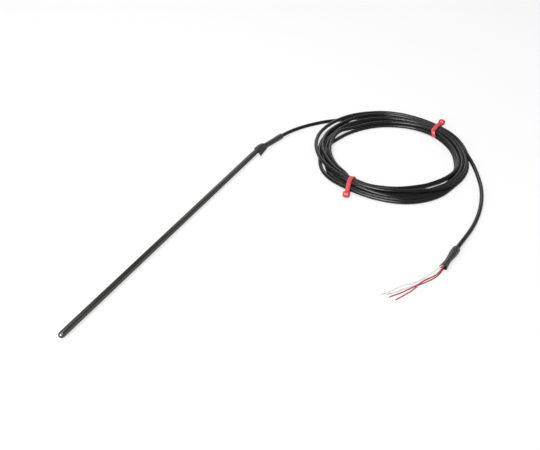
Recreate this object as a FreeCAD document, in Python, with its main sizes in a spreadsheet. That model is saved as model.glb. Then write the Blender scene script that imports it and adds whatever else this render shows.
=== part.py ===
import FreeCAD, Part
import math
import os
import Sketcher

# Resistance thermometer probe: a closed steel sheath with its sensing element inside,
# a coiled lead held by two cable ties, and four stripped lead wires.
# Millimetres, +Z up. The sheath lies along X with its tip at -X, above the middle of the
# origin, and the lead lies on the plane z = 0.

doc = FreeCAD.newDocument("rtd_probe")
sheet = doc.addObject("Spreadsheet::Sheet", "dims")

# Driving dimensions: alias, value in millimetres or degrees, meaning
DIMENSIONS = (
    ("sheath_diameter", 6.35, "outside of the sheath, a quarter inch tube"),
    ("sheath_wall", 0.71, "wall of the sheath"),
    ("sheath_length", 350, "tip to mouth of the sheath"),
    ("mouth_x", 175, "place of the sheath's mouth"),
    ("end_step", 0.2, "sheath drawn in under the sleeve"),
    ("end_step_margin", 0.3, "drawn-in end to the sleeve"),
    ("tip_dome", 2.9, "height of the domed tip"),
    ("tip_spigot", 4, "spigot of the tip cap inside the sheath"),
    ("seam_chamfer", 0.15, "chamfer each side of the welded seam"),
    ("chip_setback", 1, "tip spigot to element chip"),
    ("chip_length", 4, "element chip along the sheath"),
    ("chip_width", 2.3, "element chip across the sheath"),
    ("chip_thickness", 0.65, "element chip"),
    ("glaze_length", 1.6, "glaze bead along the chip"),
    ("glaze_height", 0.75, "glaze bead above the chip"),
    ("glaze_round", 0.2, "rounded edges of the glaze bead"),
    ("element_lead_diameter", 0.25, "bare leads of the element"),
    ("element_lead_length", 9, "bare leads of the element"),
    ("lead_bond", 1.2, "element lead held in the glaze"),
    ("lead_lift", 0.05, "element lead above the chip"),
    ("lead_pitch", 1.6, "between the two element leads"),
    ("crimp_length", 5, "splice crimp"),
    ("crimp_wall", 0.2, "splice crimp around the conductors"),
    ("splice_sleeve_wall", 0.18, "insulating sleeve on a splice crimp"),
    ("splice_sleeve_overhang", 0.6, "sleeve past each end of its crimp"),
    ("conductor_diameter", 0.6, "stranded conductor of a lead wire"),
    ("conductor_grip", 2.5, "conductor held in its crimp"),
    ("wire_diameter", 1.25, "insulated lead wire"),
    ("wire_pitch", 1.4, "between two lead wires of a pair"),
    ("strip_gap", 0.8, "crimp to the wire's insulation"),
    ("filler_length", 34, "powder fill behind the tip spigot"),
    ("potting_length", 18, "resin plug in the mouth"),
    ("cable_diameter", 4.25, "jacketed lead"),
    ("cable_entry", 5.5, "cable inside the mouth"),
    ("sleeve_wall", 0.55, "wall of the heat shrink sleeves"),
    ("sleeve_gap", 0.1, "sheath to the mouth of its sleeve"),
    ("sleeve_cover", 7, "sheath end sleeve on the sheath"),
    ("sleeve_length", 20.5, "sheath end sleeve"),
    ("ear_radius", 0.85, "creased edge of the sheath end sleeve"),
    ("mouth_hollow_radius", 9.5, "hollow cut of a sleeve's mouth"),
    ("mouth_hollow_depth", 2.2, "hollow cut of a sleeve's mouth"),
    ("relief_diameter", 6.6, "strain relief sleeve"),
    ("relief_round", 0.6, "rounded end of the strain relief sleeve"),
    ("coil_x", 251, "middle of the coil"),
    ("coil_y", -150.5, "middle of the coil"),
    ("coil_mean_radius", 84.2, "coil at the middle of its turns"),
    ("coil_width", 20, "bundle of turns, flat"),
    ("coil_height", 10.4, "bundle of turns, upright"),
    ("coil_round", 4.6, "rounded corners of the bundle"),
    ("stub_length", 30, "turn end that leaves the bundle"),
    ("strap_width", 4.8, "cable tie strap"),
    ("strap_thickness", 1.25, "cable tie strap"),
    ("strap_round", 3.4, "inside corner of a cable tie loop"),
    ("loop_height", 8.6, "inside of a cable tie loop"),
    ("groove_clearance", 0.3, "bundle each side of a strap"),
    ("tie_head_width", 8, "cable tie head along the coil"),
    ("tie_head_length", 7.6, "cable tie head along the strap"),
    ("tie_head_height", 5.4, "cable tie head off the strap"),
    ("tie_head_round", 0.9, "rounded edges of a cable tie head"),
    ("tie_head_seat", 0.7, "loop to where a cable tie's neck starts"),
    ("tie_neck", 5.6, "the strap's two runs side by side, up to a cable tie head"),
    ("tie_slot_width", 5.2, "slot through a cable tie head"),
    ("tie_slot_height", 1.7, "slot through a cable tie head"),
    ("tie_slot_depth", 1.6, "open end of the slot"),
    ("front_tie_angle", 166.6, "front tie around the coil"),
    ("front_tie_slant", 26, "front tie across the bundle"),
    ("front_loop_in", 9.8, "front tie's loop, towards the coil's middle"),
    ("front_loop_out", 12.4, "front tie's loop, outwards"),
    ("front_head_turn", 0, "head of the front tie round its loop"),
    ("rear_tie_angle", -20, "rear tie around the coil"),
    ("rear_tie_slant", 12, "rear tie across the bundle"),
    ("rear_loop_in", 9, "rear tie's loop, towards the coil's middle"),
    ("rear_loop_out", 10.2, "rear tie's loop, outwards"),
    ("rear_head_turn", 12, "head of the rear tie round its loop"),
    ("end_sleeve_x", 120.1, "cable end of the end sleeve"),
    ("end_sleeve_y", -275, "cable end of the end sleeve"),
    ("end_sleeve_turn", 174.8, "direction of the end sleeve"),
    ("end_sleeve_length", 35.4, "end sleeve with its ears"),
    ("end_sleeve_diameter", 7, "thick part of the end sleeve"),
    ("end_sleeve_neck", 5.8, "neck of the end sleeve"),
    ("end_sleeve_mouth", 7.7, "mouth of the end sleeve"),
    ("end_sleeve_lip", 0.5, "end sleeve's edge on the cable"),
    ("end_sleeve_shoulder", 2, "rounded shoulder of the end sleeve"),
    ("thick_length", 16, "cable end to the taper of the end sleeve"),
    ("neck_place", 24, "cable end to the neck of the end sleeve"),
    ("cable_end_depth", 10.644, "cable inside the end sleeve"),
    ("cavity_taper", 1.5, "end sleeve's bore from cable to cavity"),
    ("bare_length", 6, "stripped end of a lead wire"),
)
for row, (alias, value, meaning) in enumerate(DIMENSIONS, start=1):
    sheet.set(f"A{row}", meaning)
    sheet.set(f"B{row}", str(value))
    sheet.setAlias(f"B{row}", alias)
doc.recompute()


def size(expression):
    """The value of an expression of the sheet's aliases."""
    result = sheet.evalExpression(expression)
    return float(getattr(result, "Value", result))


# Heights and places that several pieces share
SHEATH_RADIUS = "dims.sheath_diameter / 2"
BORE_RADIUS = "(dims.sheath_diameter / 2 - dims.sheath_wall)"
AXIS_HEIGHT = "(dims.sheath_diameter / 2 + dims.sleeve_gap + dims.sleeve_wall)"
TIP_X = "(dims.mouth_x - dims.sheath_length)"
CABLE_RADIUS = "dims.cable_diameter / 2"
END_SLEEVE_HEIGHT = "(dims.end_sleeve_mouth / 2)"
SPIGOT_END = "(dims.tip_dome + dims.tip_spigot)"
CHIP_START = f"({SPIGOT_END} + dims.chip_setback)"
CHIP_END = f"({CHIP_START} + dims.chip_length)"
LEAD_START = f"({CHIP_END} - dims.lead_bond)"
LEAD_END = f"({LEAD_START} + dims.element_lead_length)"
CRIMP_START = f"({LEAD_END} - dims.crimp_length + dims.conductor_grip)"
CRIMP_END = f"({CRIMP_START} + dims.crimp_length)"
CABLE_START = "(dims.sheath_length - dims.cable_entry)"

# The cable's route from inside the sheath's mouth to the coil: x, y, z
CABLE_REST = 2.15
LEAD_IN_ROUTE = (
    (size("dims.mouth_x - dims.cable_entry"), 0, size(AXIS_HEIGHT)),
    (181, 0, size(AXIS_HEIGHT)),
    (192.5, -4.4, 3.75),
    (213.5, -8.2, 3.55),
    (228.5, -11.6, 3.25),
    (241, -15.3, 2.5),
    (253, -20.3, CABLE_REST),
    (264, -26.6, CABLE_REST),
    (274.2, -34, CABLE_REST),
    (283.4, -42.4, CABLE_REST),
    (291.8, -51.7, CABLE_REST),
    (299.4, -61.5, CABLE_REST),
    (306.2, -71.7, CABLE_REST),
)
# The cable's route from the coil to its end inside the end sleeve
TAIL_ROUTE = (
    (288, -239.8, CABLE_REST),
    (277.4, -247.5, CABLE_REST),
    (266, -254.3, CABLE_REST),
    (253.6, -260.7, CABLE_REST),
    (240.5, -266.8, CABLE_REST),
    (225, -271.9, CABLE_REST),
    (209, -275.7, CABLE_REST),
    (192.5, -278.1, CABLE_REST),
    (175.5, -279.2, CABLE_REST),
    (160.5, -278.9, 2.3),
    (145.5, -277.75, 3.1),
    (127.5, -275.673, 3.85),
    (109.5, -274.035, 3.85),
)
# Where the turns run on into the bundle past the two routes
COIL_ENTRY = (318.4, -90.0)
COIL_EXIT = (298.6, -232.1)

# The lead wires' routes from the cable's end to where their insulation stops
WIRE_REST = 0.65
WIRE_ROUTES = {
    "red_1": (
        (109.436, -274.732, 3.15),
        (98, -273.7, 3.1),
        (87.5, -272.6, 2.1),
        (79.5, -271.4, 1.0),
        (72.8, -269.8, WIRE_REST),
        (66.2, -266.9, WIRE_REST),
        (58.5, -262.3, WIRE_REST),
        (50.5, -256.7, WIRE_REST),
        (42.4, -251.9, WIRE_REST),
        (34.2, -247.4, WIRE_REST),
        (26.4, -241.6, WIRE_REST),
    ),
    "red_2": (
        (109.436, -274.732, 4.55),
        (98, -273.6, 4.5),
        (87.5, -271.9, 3.8),
        (79, -269.4, 2.7),
        (71.3, -265.8, 2.15),
        (65.4, -262.5, 2.1),
        (59.6, -260.2, 2.1),
        (53.4, -258.6, 2.05),
        (46.4, -256.9, 1.2),
        (39.2, -254.2, WIRE_REST),
        (32.2, -250.6, WIRE_REST),
        (26.6, -248.0, WIRE_REST),
    ),
    "white_1": (
        (109.564, -273.338, 4.55),
        (98.5, -272.3, 4.7),
        (90.5, -270.9, 4.9),
        (84.2, -269.1, 4.4),
        (77.8, -266.0, 3.0),
        (70.2, -262.0, 1.3),
        (62.3, -258.3, WIRE_REST),
        (55.6, -255.1, WIRE_REST),
        (51.2, -251.6, WIRE_REST),
        (47.0, -247.3, WIRE_REST),
        (42.0, -243.1, WIRE_REST),
        (36.6, -240.1, WIRE_REST),
        (31.0, -237.5, WIRE_REST),
        (26.4, -234.2, WIRE_REST),
    ),
    "white_2": (
        (109.564, -273.338, 3.15),
        (98, -272.2, 3.1),
        (88, -270.8, 2.2),
        (79.5, -269.2, 1.1),
        (72.2, -267.0, WIRE_REST),
        (64.8, -263.3, WIRE_REST),
        (57.2, -258.9, WIRE_REST),
        (50.2, -254.7, WIRE_REST),
        (44.4, -250.6, WIRE_REST),
        (38.6, -246.2, WIRE_REST),
        (32.6, -242.5, WIRE_REST),
        (28.6, -239.0, WIRE_REST),
    ),
}


# Sketches

def plane_of(body, role):
    """An origin plane of a body, such as XZ_Plane."""
    return next(f for f in body.Origin.OriginFeatures if f.Role == role)


def fix_point(sketch, geometry, place, x, y):
    """Bind a point's coordinates to two expressions; an empty one stays free."""
    for kind, expression in (("DistanceX", x), ("DistanceY", y)):
        if expression:
            index = sketch.addConstraint(
                Sketcher.Constraint(kind, -1, 1, geometry, place, size(expression))
            )
            sketch.setExpression(f"Constraints[{index}]", expression)


def add_circle(sketch, x, y, diameter):
    """A circle at two expressions, with an expression for its diameter."""
    centre = FreeCAD.Vector(size(x), size(y), 0)
    circle = Part.Circle(centre, FreeCAD.Vector(0, 0, 1), size(diameter) / 2)
    geometry = sketch.addGeometry(circle, False)
    fix_point(sketch, geometry, 3, x, y)
    index = sketch.addConstraint(Sketcher.Constraint("Diameter", geometry, size(diameter)))
    sketch.setExpression(f"Constraints[{index}]", diameter)


def add_loop(sketch, corners):
    """A closed loop of corners (x, y) or (x, y, (centre x, centre y)), where the third item
    makes the side to the next corner an arc that runs counterclockwise round that centre."""
    sides = []
    for corner, following in zip(corners, corners[1:] + corners[:1]):
        start = FreeCAD.Vector(size(corner[0]), size(corner[1]), 0)
        end = FreeCAD.Vector(size(following[0]), size(following[1]), 0)
        if len(corner) == 2:
            sides.append(sketch.addGeometry(Part.LineSegment(start, end), False))
            continue
        centre = FreeCAD.Vector(size(corner[2][0]), size(corner[2][1]), 0)
        first = math.atan2(start.y - centre.y, start.x - centre.x)
        last = math.atan2(end.y - centre.y, end.x - centre.x)
        circle = Part.Circle(centre, FreeCAD.Vector(0, 0, 1), (start - centre).Length)
        arc = Part.ArcOfCircle(circle, first, last if last > first else last + 2 * math.pi)
        sides.append(sketch.addGeometry(arc, False))
        flat_chord = abs(end.x - start.x) > abs(end.y - start.y)
        if flat_chord:
            fix_point(sketch, sides[-1], 3, None, corner[2][1])
        else:
            fix_point(sketch, sides[-1], 3, corner[2][0], None)
    for number, side in enumerate(sides):
        following = sides[(number + 1) % len(sides)]
        sketch.addConstraint(Sketcher.Constraint("Coincident", side, 2, following, 1))
        fix_point(sketch, side, 1, corners[number][0], corners[number][1])


def new_body(label):
    """An empty body with the sub-part's name."""
    body = doc.addObject("PartDesign::Body", label)
    body.Label = label
    return body


def new_sketch(body, name, role, along=None):
    """A sketch on one of the body's own planes, moved along the plane's normal."""
    sketch = body.newObject("Sketcher::SketchObject", f"{body.Name}_{name}")
    sketch.AttachmentSupport = (plane_of(body, role), "")
    sketch.MapMode = "FlatFace"
    if along:
        sketch.setExpression("AttachmentOffset.Base.z", along)
    return sketch


def revolve(body, sketch, axis):
    """A full turn of a sketch about its own H_Axis or V_Axis."""
    turn = body.newObject("PartDesign::Revolution", f"{body.Name}_turn")
    turn.Profile = sketch
    turn.ReferenceAxis = (sketch, [axis])
    turn.Angle = 360
    sketch.Visibility = False
    return turn


def pad(body, sketch, length, name="pad"):
    """A sketch carried along its plane's normal."""
    feature = body.newObject("PartDesign::Pad", f"{body.Name}_{name}")
    feature.Profile = sketch
    feature.setExpression("Length", length)
    return feature


def place_on_axis(piece, x=TIP_X, y="0", z=AXIS_HEIGHT):
    """Put a piece that is drawn from the tip along +X on the sheath's axis."""
    piece.setExpression("Placement.Base.x", x)
    piece.setExpression("Placement.Base.y", y)
    piece.setExpression("Placement.Base.z", z)


def primitive(kind, label, **sizes):
    """A Part primitive whose properties are bound to expressions."""
    piece = doc.addObject(kind, label)
    piece.Label = label
    for name, expression in sizes.items():
        piece.setExpression(name, expression)
    return piece


def place_primitive(piece, x, y, z):
    """Bind a primitive's place to three expressions."""
    for letter, expression in zip("xyz", (x, y, z)):
        piece.setExpression(f"Placement.Base.{letter}", expression)


def cut(label, base, *tools):
    """A piece less one or more others."""
    for number, tool in enumerate(tools):
        last = number == len(tools) - 1
        result = doc.addObject("Part::Cut", label if last else f"{label}_step_{number}")
        result.Base = base
        result.Tool = tool
        base = result
    result.Label = label
    return result


# Cord routes

def route_edges(points):
    """Straight runs joined by tangent arcs, each as large as its two runs allow."""
    corners = [FreeCAD.Vector(*point) for point in points]
    edges = []
    radii = []
    start = corners[0]
    for before, corner, after in zip(corners, corners[1:], corners[2:]):
        inward = (corner - before).normalize()
        onward = (after - corner).normalize()
        turn = inward.getAngle(onward)
        reach = 0.45 * min((corner - before).Length, (after - corner).Length)
        radii.append(reach / math.tan(turn / 2))
        arc_start = corner - inward * reach
        arc_end = corner + onward * reach
        towards = (onward - inward).normalize()
        middle = corner + towards * (radii[-1] * (1 / math.cos(turn / 2) - 1))
        edges.append(Part.LineSegment(start, arc_start).toShape())
        edges.append(Part.Arc(arc_start, middle, arc_end).toShape())
        start = arc_end
    edges.append(Part.LineSegment(start, corners[-1]).toShape())
    return edges, radii


def sweep(label, edges, diameter):
    """A round tube of a bound diameter along the edges of a route."""
    spine = doc.addObject("Part::Feature", f"{label}_route")
    spine.Shape = Part.Wire(edges)
    ring = doc.addObject("Part::Circle", f"{label}_section")
    ring.setExpression("Radius", f"{diameter} / 2")
    first = edges[0]
    direction = first.tangentAt(first.FirstParameter)
    ring.Placement = FreeCAD.Placement(
        first.valueAt(first.FirstParameter),
        FreeCAD.Rotation(FreeCAD.Vector(0, 0, 1), direction),
    )
    tube = doc.addObject("Part::Sweep", label)
    tube.Sections = [ring]
    tube.Spine = (spine, [f"Edge{number + 1}" for number in range(len(edges))])
    tube.Solid = True
    tube.Frenet = False
    tube.Label = label
    return tube


# Sheath and what is inside it

def sheath_tube():
    """The straight tube, chamfered where the tip cap is welded on and drawn in under the sleeve."""
    end_step = "(dims.sheath_length - dims.sleeve_cover - dims.end_step_margin)"
    body = new_body("sheath_tube")
    sketch = new_sketch(body, "section", "XZ_Plane")
    add_loop(sketch, [
        ("dims.tip_dome", BORE_RADIUS),
        ("dims.sheath_length", BORE_RADIUS),
        ("dims.sheath_length", f"{SHEATH_RADIUS} - dims.end_step"),
        (end_step, f"{SHEATH_RADIUS} - dims.end_step"),
        (end_step, SHEATH_RADIUS),
        ("dims.tip_dome + dims.seam_chamfer", SHEATH_RADIUS),
        ("dims.tip_dome", f"{SHEATH_RADIUS} - dims.seam_chamfer"),
    ])
    revolve(body, sketch, "H_Axis")
    place_on_axis(body)
    return body


def tip_cap():
    """The domed cap, with a spigot that fits the tube's bore."""
    rim = f"({SHEATH_RADIUS} - dims.seam_chamfer)"
    centre = f"(({rim} * {rim} + dims.tip_dome * dims.tip_dome) / (2 * dims.tip_dome))"
    body = new_body("tip_cap")
    sketch = new_sketch(body, "section", "XZ_Plane")
    add_loop(sketch, [
        ("0", "0"),
        (SPIGOT_END, "0"),
        (SPIGOT_END, BORE_RADIUS),
        ("dims.tip_dome", BORE_RADIUS),
        ("dims.tip_dome", rim, (centre, "0")),
    ])
    revolve(body, sketch, "H_Axis")
    place_on_axis(body)
    return body


def element():
    """The thin film chip, its two leads and the glaze bead that holds them."""
    chip_top = "(dims.element_lead_diameter / 2 + dims.lead_lift)"
    chip = primitive("Part::Box", "element_chip", Length="dims.chip_length",
                     Width="dims.chip_width", Height="dims.chip_thickness")
    place_primitive(chip, f"{TIP_X} + {CHIP_START}", "-dims.chip_width / 2",
                    f"{AXIS_HEIGHT} - {chip_top} - dims.chip_thickness")
    leads = []
    for colour, side in (("red", 1), ("white", -1)):
        lead = primitive("Part::Cylinder", f"element_lead_{colour}",
                         Radius="dims.element_lead_diameter / 2", Height="dims.element_lead_length")
        lead.Placement.Rotation = FreeCAD.Rotation(FreeCAD.Vector(0, 1, 0), 90)
        place_primitive(lead, f"{TIP_X} + {LEAD_START}", f"{side} * dims.lead_pitch / 2", AXIS_HEIGHT)
        leads.append(lead)
    bead = primitive("Part::Box", "glaze_blank", Length="dims.glaze_length",
                     Width="dims.chip_width", Height="dims.glaze_height")
    place_primitive(bead, f"{TIP_X} + {CHIP_END} - dims.glaze_length", "-dims.chip_width / 2",
                    f"{AXIS_HEIGHT} - {chip_top}")
    doc.recompute()
    top = bead.Shape.BoundBox.ZMax
    upper = [number for number, edge in enumerate(bead.Shape.Edges, start=1)
             if abs(edge.BoundBox.ZMin - top) < 1e-6]
    rounded = doc.addObject("Part::Fillet", "glaze_rounded")
    rounded.Base = bead
    rounded.Edges = [(number, size("dims.glaze_round"), size("dims.glaze_round")) for number in upper]
    glaze = cut("element_glaze", rounded, *leads)
    return [chip, glaze] + leads


def add_slot_outline(sketch, half_pitch, radius):
    """A flat-sided oval about the origin, long along the sketch's vertical axis."""
    add_loop(sketch, [
        (radius, f"-{half_pitch}"),
        (radius, half_pitch, ("0", half_pitch)),
        (f"-{radius}", half_pitch),
        (f"-{radius}", f"-{half_pitch}", ("0", f"-{half_pitch}")),
    ])


def splice(colour, side):
    """The crimp that joins an element lead to two wires, and its insulating sleeve."""
    half_pitch = "(dims.wire_pitch / 2)"
    bore = "dims.conductor_diameter"
    outside = "(dims.conductor_diameter / 2 + dims.crimp_wall)"
    grip = "dims.conductor_grip"
    crimp = new_body(f"splice_crimp_{colour}")
    front = new_sketch(crimp, "front", "YZ_Plane")
    add_slot_outline(front, half_pitch, outside)
    add_circle(front, "0", "0", "dims.element_lead_diameter")
    pad(crimp, front, f"dims.crimp_length - {grip}", "front")
    back = new_sketch(crimp, "back", "YZ_Plane", f"dims.crimp_length - {grip}")
    add_slot_outline(back, half_pitch, outside)
    add_circle(back, "0", half_pitch, bore)
    add_circle(back, "0", f"-{half_pitch}", bore)
    pad(crimp, back, grip, "back")
    place_on_axis(crimp, f"{TIP_X} + {CRIMP_START}", f"{side} * dims.lead_pitch / 2")
    sleeve = new_body(f"splice_sleeve_{colour}")
    ring = new_sketch(sleeve, "ring", "YZ_Plane")
    add_slot_outline(ring, half_pitch, f"({outside} + dims.splice_sleeve_wall)")
    add_slot_outline(ring, half_pitch, outside)
    pad(sleeve, ring, "dims.crimp_length + 2 * dims.splice_sleeve_overhang")
    place_on_axis(sleeve, f"{TIP_X} + {CRIMP_START} - dims.splice_sleeve_overhang",
                  f"{side} * dims.lead_pitch / 2")
    return [crimp, sleeve]


def core_wire(label, side, level):
    """A lead wire inside the sheath, its bare conductor in the crimp."""
    bare = f"(dims.conductor_grip + dims.strip_gap)"
    start = f"({CRIMP_END} - dims.conductor_grip)"
    length = f"({CABLE_START} - {start})"
    body = new_body(label)
    sketch = new_sketch(body, "section", "XZ_Plane")
    add_loop(sketch, [
        ("0", "0"),
        (length, "0"),
        (length, "dims.wire_diameter / 2"),
        (bare, "dims.wire_diameter / 2"),
        (bare, "dims.conductor_diameter / 2"),
        ("0", "dims.conductor_diameter / 2"),
    ])
    revolve(body, sketch, "H_Axis")
    place_on_axis(body, f"{TIP_X} + {start}", f"{side} * dims.lead_pitch / 2",
                  f"{AXIS_HEIGHT} + {level} * dims.wire_pitch / 2")
    return body


def bore_plug(label, start, length, *pieces):
    """A filling of the tube's bore around the pieces that pass through it."""
    blank = primitive("Part::Cylinder", f"{label}_blank", Radius=BORE_RADIUS, Height=length)
    blank.Placement.Rotation = FreeCAD.Rotation(FreeCAD.Vector(0, 1, 0), 90)
    place_primitive(blank, f"{TIP_X} + {start}", "0", AXIS_HEIGHT)
    doc.recompute()
    plug = doc.addObject("Part::Feature", label)
    plug.Shape = blank.Shape.cut([piece.Shape for piece in pieces])
    plug.Label = label
    return plug


# Heat shrink sleeves

def crease_section(x, hub, hub_radius, ears, ear_radius):
    """A wire round a hub circle and two small circles, where the flattened sleeve creases."""
    circles = [(ears[0], ear_radius), (hub, hub_radius), (ears[1], ear_radius), (hub, hub_radius)]
    tangents = []
    for (first, first_radius), (second, second_radius) in zip(circles, circles[1:] + circles[:1]):
        across = (second[0] - first[0], second[1] - first[1])
        distance = math.hypot(*across)
        heading = math.atan2(across[1], across[0])
        lean = math.acos((first_radius - second_radius) / distance)
        angle = heading - lean
        tangents.append([
            FreeCAD.Vector(x, centre[0] + radius * math.cos(angle), centre[1] + radius * math.sin(angle))
            for centre, radius in ((first, first_radius), (second, second_radius))
        ])
    edges = []
    for number, (start, end) in enumerate(tangents):
        edges.append(Part.LineSegment(start, end).toShape())
        centre, radius = circles[(number + 1) % len(circles)]
        following = tangents[(number + 1) % len(tangents)][0]
        hub_point = FreeCAD.Vector(x, centre[0], centre[1])
        bisector = (end - hub_point) + (following - hub_point)
        chord = following - end
        outward = FreeCAD.Vector(0, chord.z, -chord.y)
        if bisector.dot(outward) < 0:
            bisector = -bisector
        middle = hub_point + bisector.normalize() * radius
        edges.append(Part.Arc(end, middle, following).toShape())
    return Part.Wire(edges)


def sheath_end_sleeve(relief):
    """The short sleeve over the mouth: creased flat on both sides, open towards the tip."""
    wall = size("dims.sleeve_wall")
    axis = size(AXIS_HEIGHT)
    start = size("dims.mouth_x - dims.sleeve_cover")
    length = size("dims.sleeve_length")
    sheath_fit = size(f"{SHEATH_RADIUS} + dims.sleeve_gap") + wall
    relief_fit = size("dims.relief_diameter / 2") + wall
    ear = size("dims.ear_radius")
    # Each station: share of the length, hub across and up, hub radius, and the two creases
    stations = (
        (0.0, (0.0, axis), sheath_fit, ((-7.1, 1.75), (3.9, 5.5))),
        (0.45, (-0.2, axis + 0.3), sheath_fit + 0.3, ((-6.8, 2.2), (3.6, 5.6))),
        (1.0, (-3.2, axis + 0.05), relief_fit, ((-6.6, 2.9), (0.6, 5.3))),
    )

    def shell(inset):
        wires = [
            crease_section(start + share * length, hub, radius - inset, ears, ear - inset)
            for share, hub, radius, ears in stations
        ]
        return Part.makeLoft(wires, True, True)

    hollow = size("dims.mouth_hollow_radius")
    depth = size("dims.mouth_hollow_depth")
    middle = (stations[0][3][0][0] + stations[0][3][1][0]) / 2
    scoop = Part.makeCylinder(hollow, 4 * axis, FreeCAD.Vector(start + depth - hollow, middle, -axis))
    sleeve = doc.addObject("Part::Feature", "sheath_end_sleeve")
    sleeve.Shape = shell(0).cut(shell(wall)).cut(scoop).cut(relief.Shape)
    sleeve.Label = "sheath_end_sleeve"
    return sleeve


def strain_relief_sleeve(edges):
    """The sleeve from the cable's first bend to the middle of a run, with a rounded free end."""
    last = edges[-1]
    stretch = edges[:-1] + [Part.LineSegment(last.Vertexes[0].Point, last.CenterOfMass).toShape()]
    outside = sweep("relief_blank", stretch, "dims.relief_diameter")
    doc.recompute()
    free_end = last.CenterOfMass
    rims = [number for number, edge in enumerate(outside.Shape.Edges, start=1)
            if edge.Curve.TypeId == "Part::GeomCircle" and (edge.Curve.Center - free_end).Length < 1e-3
            and edge.isClosed()]
    rounded = doc.addObject("Part::Fillet", "relief_rounded")
    rounded.Base = outside
    rounded.Edges = [(number, size("dims.relief_round"), size("dims.relief_round")) for number in rims]
    bore = sweep("relief_bore", stretch, "dims.cable_diameter")
    return cut("strain_relief_sleeve", rounded, bore)


def end_sleeve():
    """The sleeve at the cable's end, with a shoulder, a neck and an open eared mouth."""
    body_radius = "dims.end_sleeve_diameter / 2"
    lip_radius = f"({CABLE_RADIUS} + dims.end_sleeve_lip)"
    cavity = f"({body_radius} - dims.sleeve_wall)"
    neck = "dims.end_sleeve_neck / 2"
    mouth = "dims.end_sleeve_mouth / 2"
    body = new_body("end_sleeve_blank")
    sketch = new_sketch(body, "section", "XZ_Plane")
    add_loop(sketch, [
        ("0", CABLE_RADIUS),
        ("dims.cable_end_depth", CABLE_RADIUS),
        ("dims.cable_end_depth + dims.cavity_taper", cavity),
        ("dims.thick_length", cavity),
        ("dims.neck_place", f"{neck} - dims.sleeve_wall"),
        ("dims.end_sleeve_length", f"{mouth} - dims.sleeve_wall"),
        ("dims.end_sleeve_length", mouth),
        ("dims.neck_place", neck),
        ("dims.thick_length", body_radius),
        ("dims.end_sleeve_shoulder", body_radius),
        ("0", lip_radius),
    ])
    revolve(body, sketch, "H_Axis")
    scoop = primitive("Part::Cylinder", "end_sleeve_scoop", Radius="dims.mouth_hollow_radius / 2",
                      Height="2 * dims.end_sleeve_mouth")
    place_primitive(scoop, "dims.end_sleeve_length - dims.mouth_hollow_depth + dims.mouth_hollow_radius / 2",
                    "0", "-dims.end_sleeve_mouth")
    sleeve = cut("end_sleeve", body, scoop)
    sleeve.setExpression("Placement.Rotation.Angle", "dims.end_sleeve_turn")
    place_primitive(sleeve, "dims.end_sleeve_x", "dims.end_sleeve_y", END_SLEEVE_HEIGHT)
    return sleeve


# Coil and cable ties

def add_round_rectangle(sketch, left, right, low, high, corner):
    """A rectangle with rounded corners, each side and the radius an expression."""
    inner_left = f"({left} + {corner})"
    inner_right = f"({right} - {corner})"
    inner_low = f"({low} + {corner})"
    inner_high = f"({high} - {corner})"
    add_loop(sketch, [
        (inner_left, low),
        (inner_right, low, (inner_right, inner_low)),
        (right, inner_low),
        (right, inner_high, (inner_right, inner_high)),
        (inner_right, high),
        (inner_left, high, (inner_left, inner_high)),
        (left, inner_high),
        (left, inner_low, (inner_left, inner_low)),
    ])


def tie_place(piece, name):
    """Stand a piece that is drawn across the bundle on the coil, at its tie's angle round it."""
    angle = f"dims.{name}_tie_angle"
    piece.Placement.Rotation = FreeCAD.Rotation(FreeCAD.Vector(0, 0, 1), 1)
    piece.setExpression("Placement.Rotation.Angle", f"{angle} + dims.{name}_tie_slant")
    piece.setExpression("Placement.Base.x", f"dims.coil_x + dims.coil_mean_radius * cos({angle} * 1 deg)")
    piece.setExpression("Placement.Base.y", f"dims.coil_y + dims.coil_mean_radius * sin({angle} * 1 deg)")


def symmetric_pad(body, sketch, length):
    """A pad that reaches as far each side of its sketch."""
    feature = pad(body, sketch, length)
    feature.SideType = "Symmetric"
    return feature


def loop_sides(name):
    """Left, right, low and high sides of the inside of a tie's loop."""
    return (f"(-dims.{name}_loop_in)", f"dims.{name}_loop_out", "dims.strap_thickness",
            "(dims.strap_thickness + dims.loop_height)")


def groove(name):
    """What a tie squeezes out of the bundle: all that is outside its loop."""
    body = new_body(f"{name}_groove")
    sketch = new_sketch(body, "frame", "XZ_Plane")
    reach = "dims.coil_width"
    add_round_rectangle(sketch, f"(-{reach})", reach, "(-dims.coil_height)", "(2 * dims.coil_height)",
                        "dims.strap_round")
    add_round_rectangle(sketch, *loop_sides(name), "dims.strap_round")
    symmetric_pad(body, sketch, "dims.strap_width + 2 * dims.groove_clearance")
    tie_place(body, name)
    return body


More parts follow.
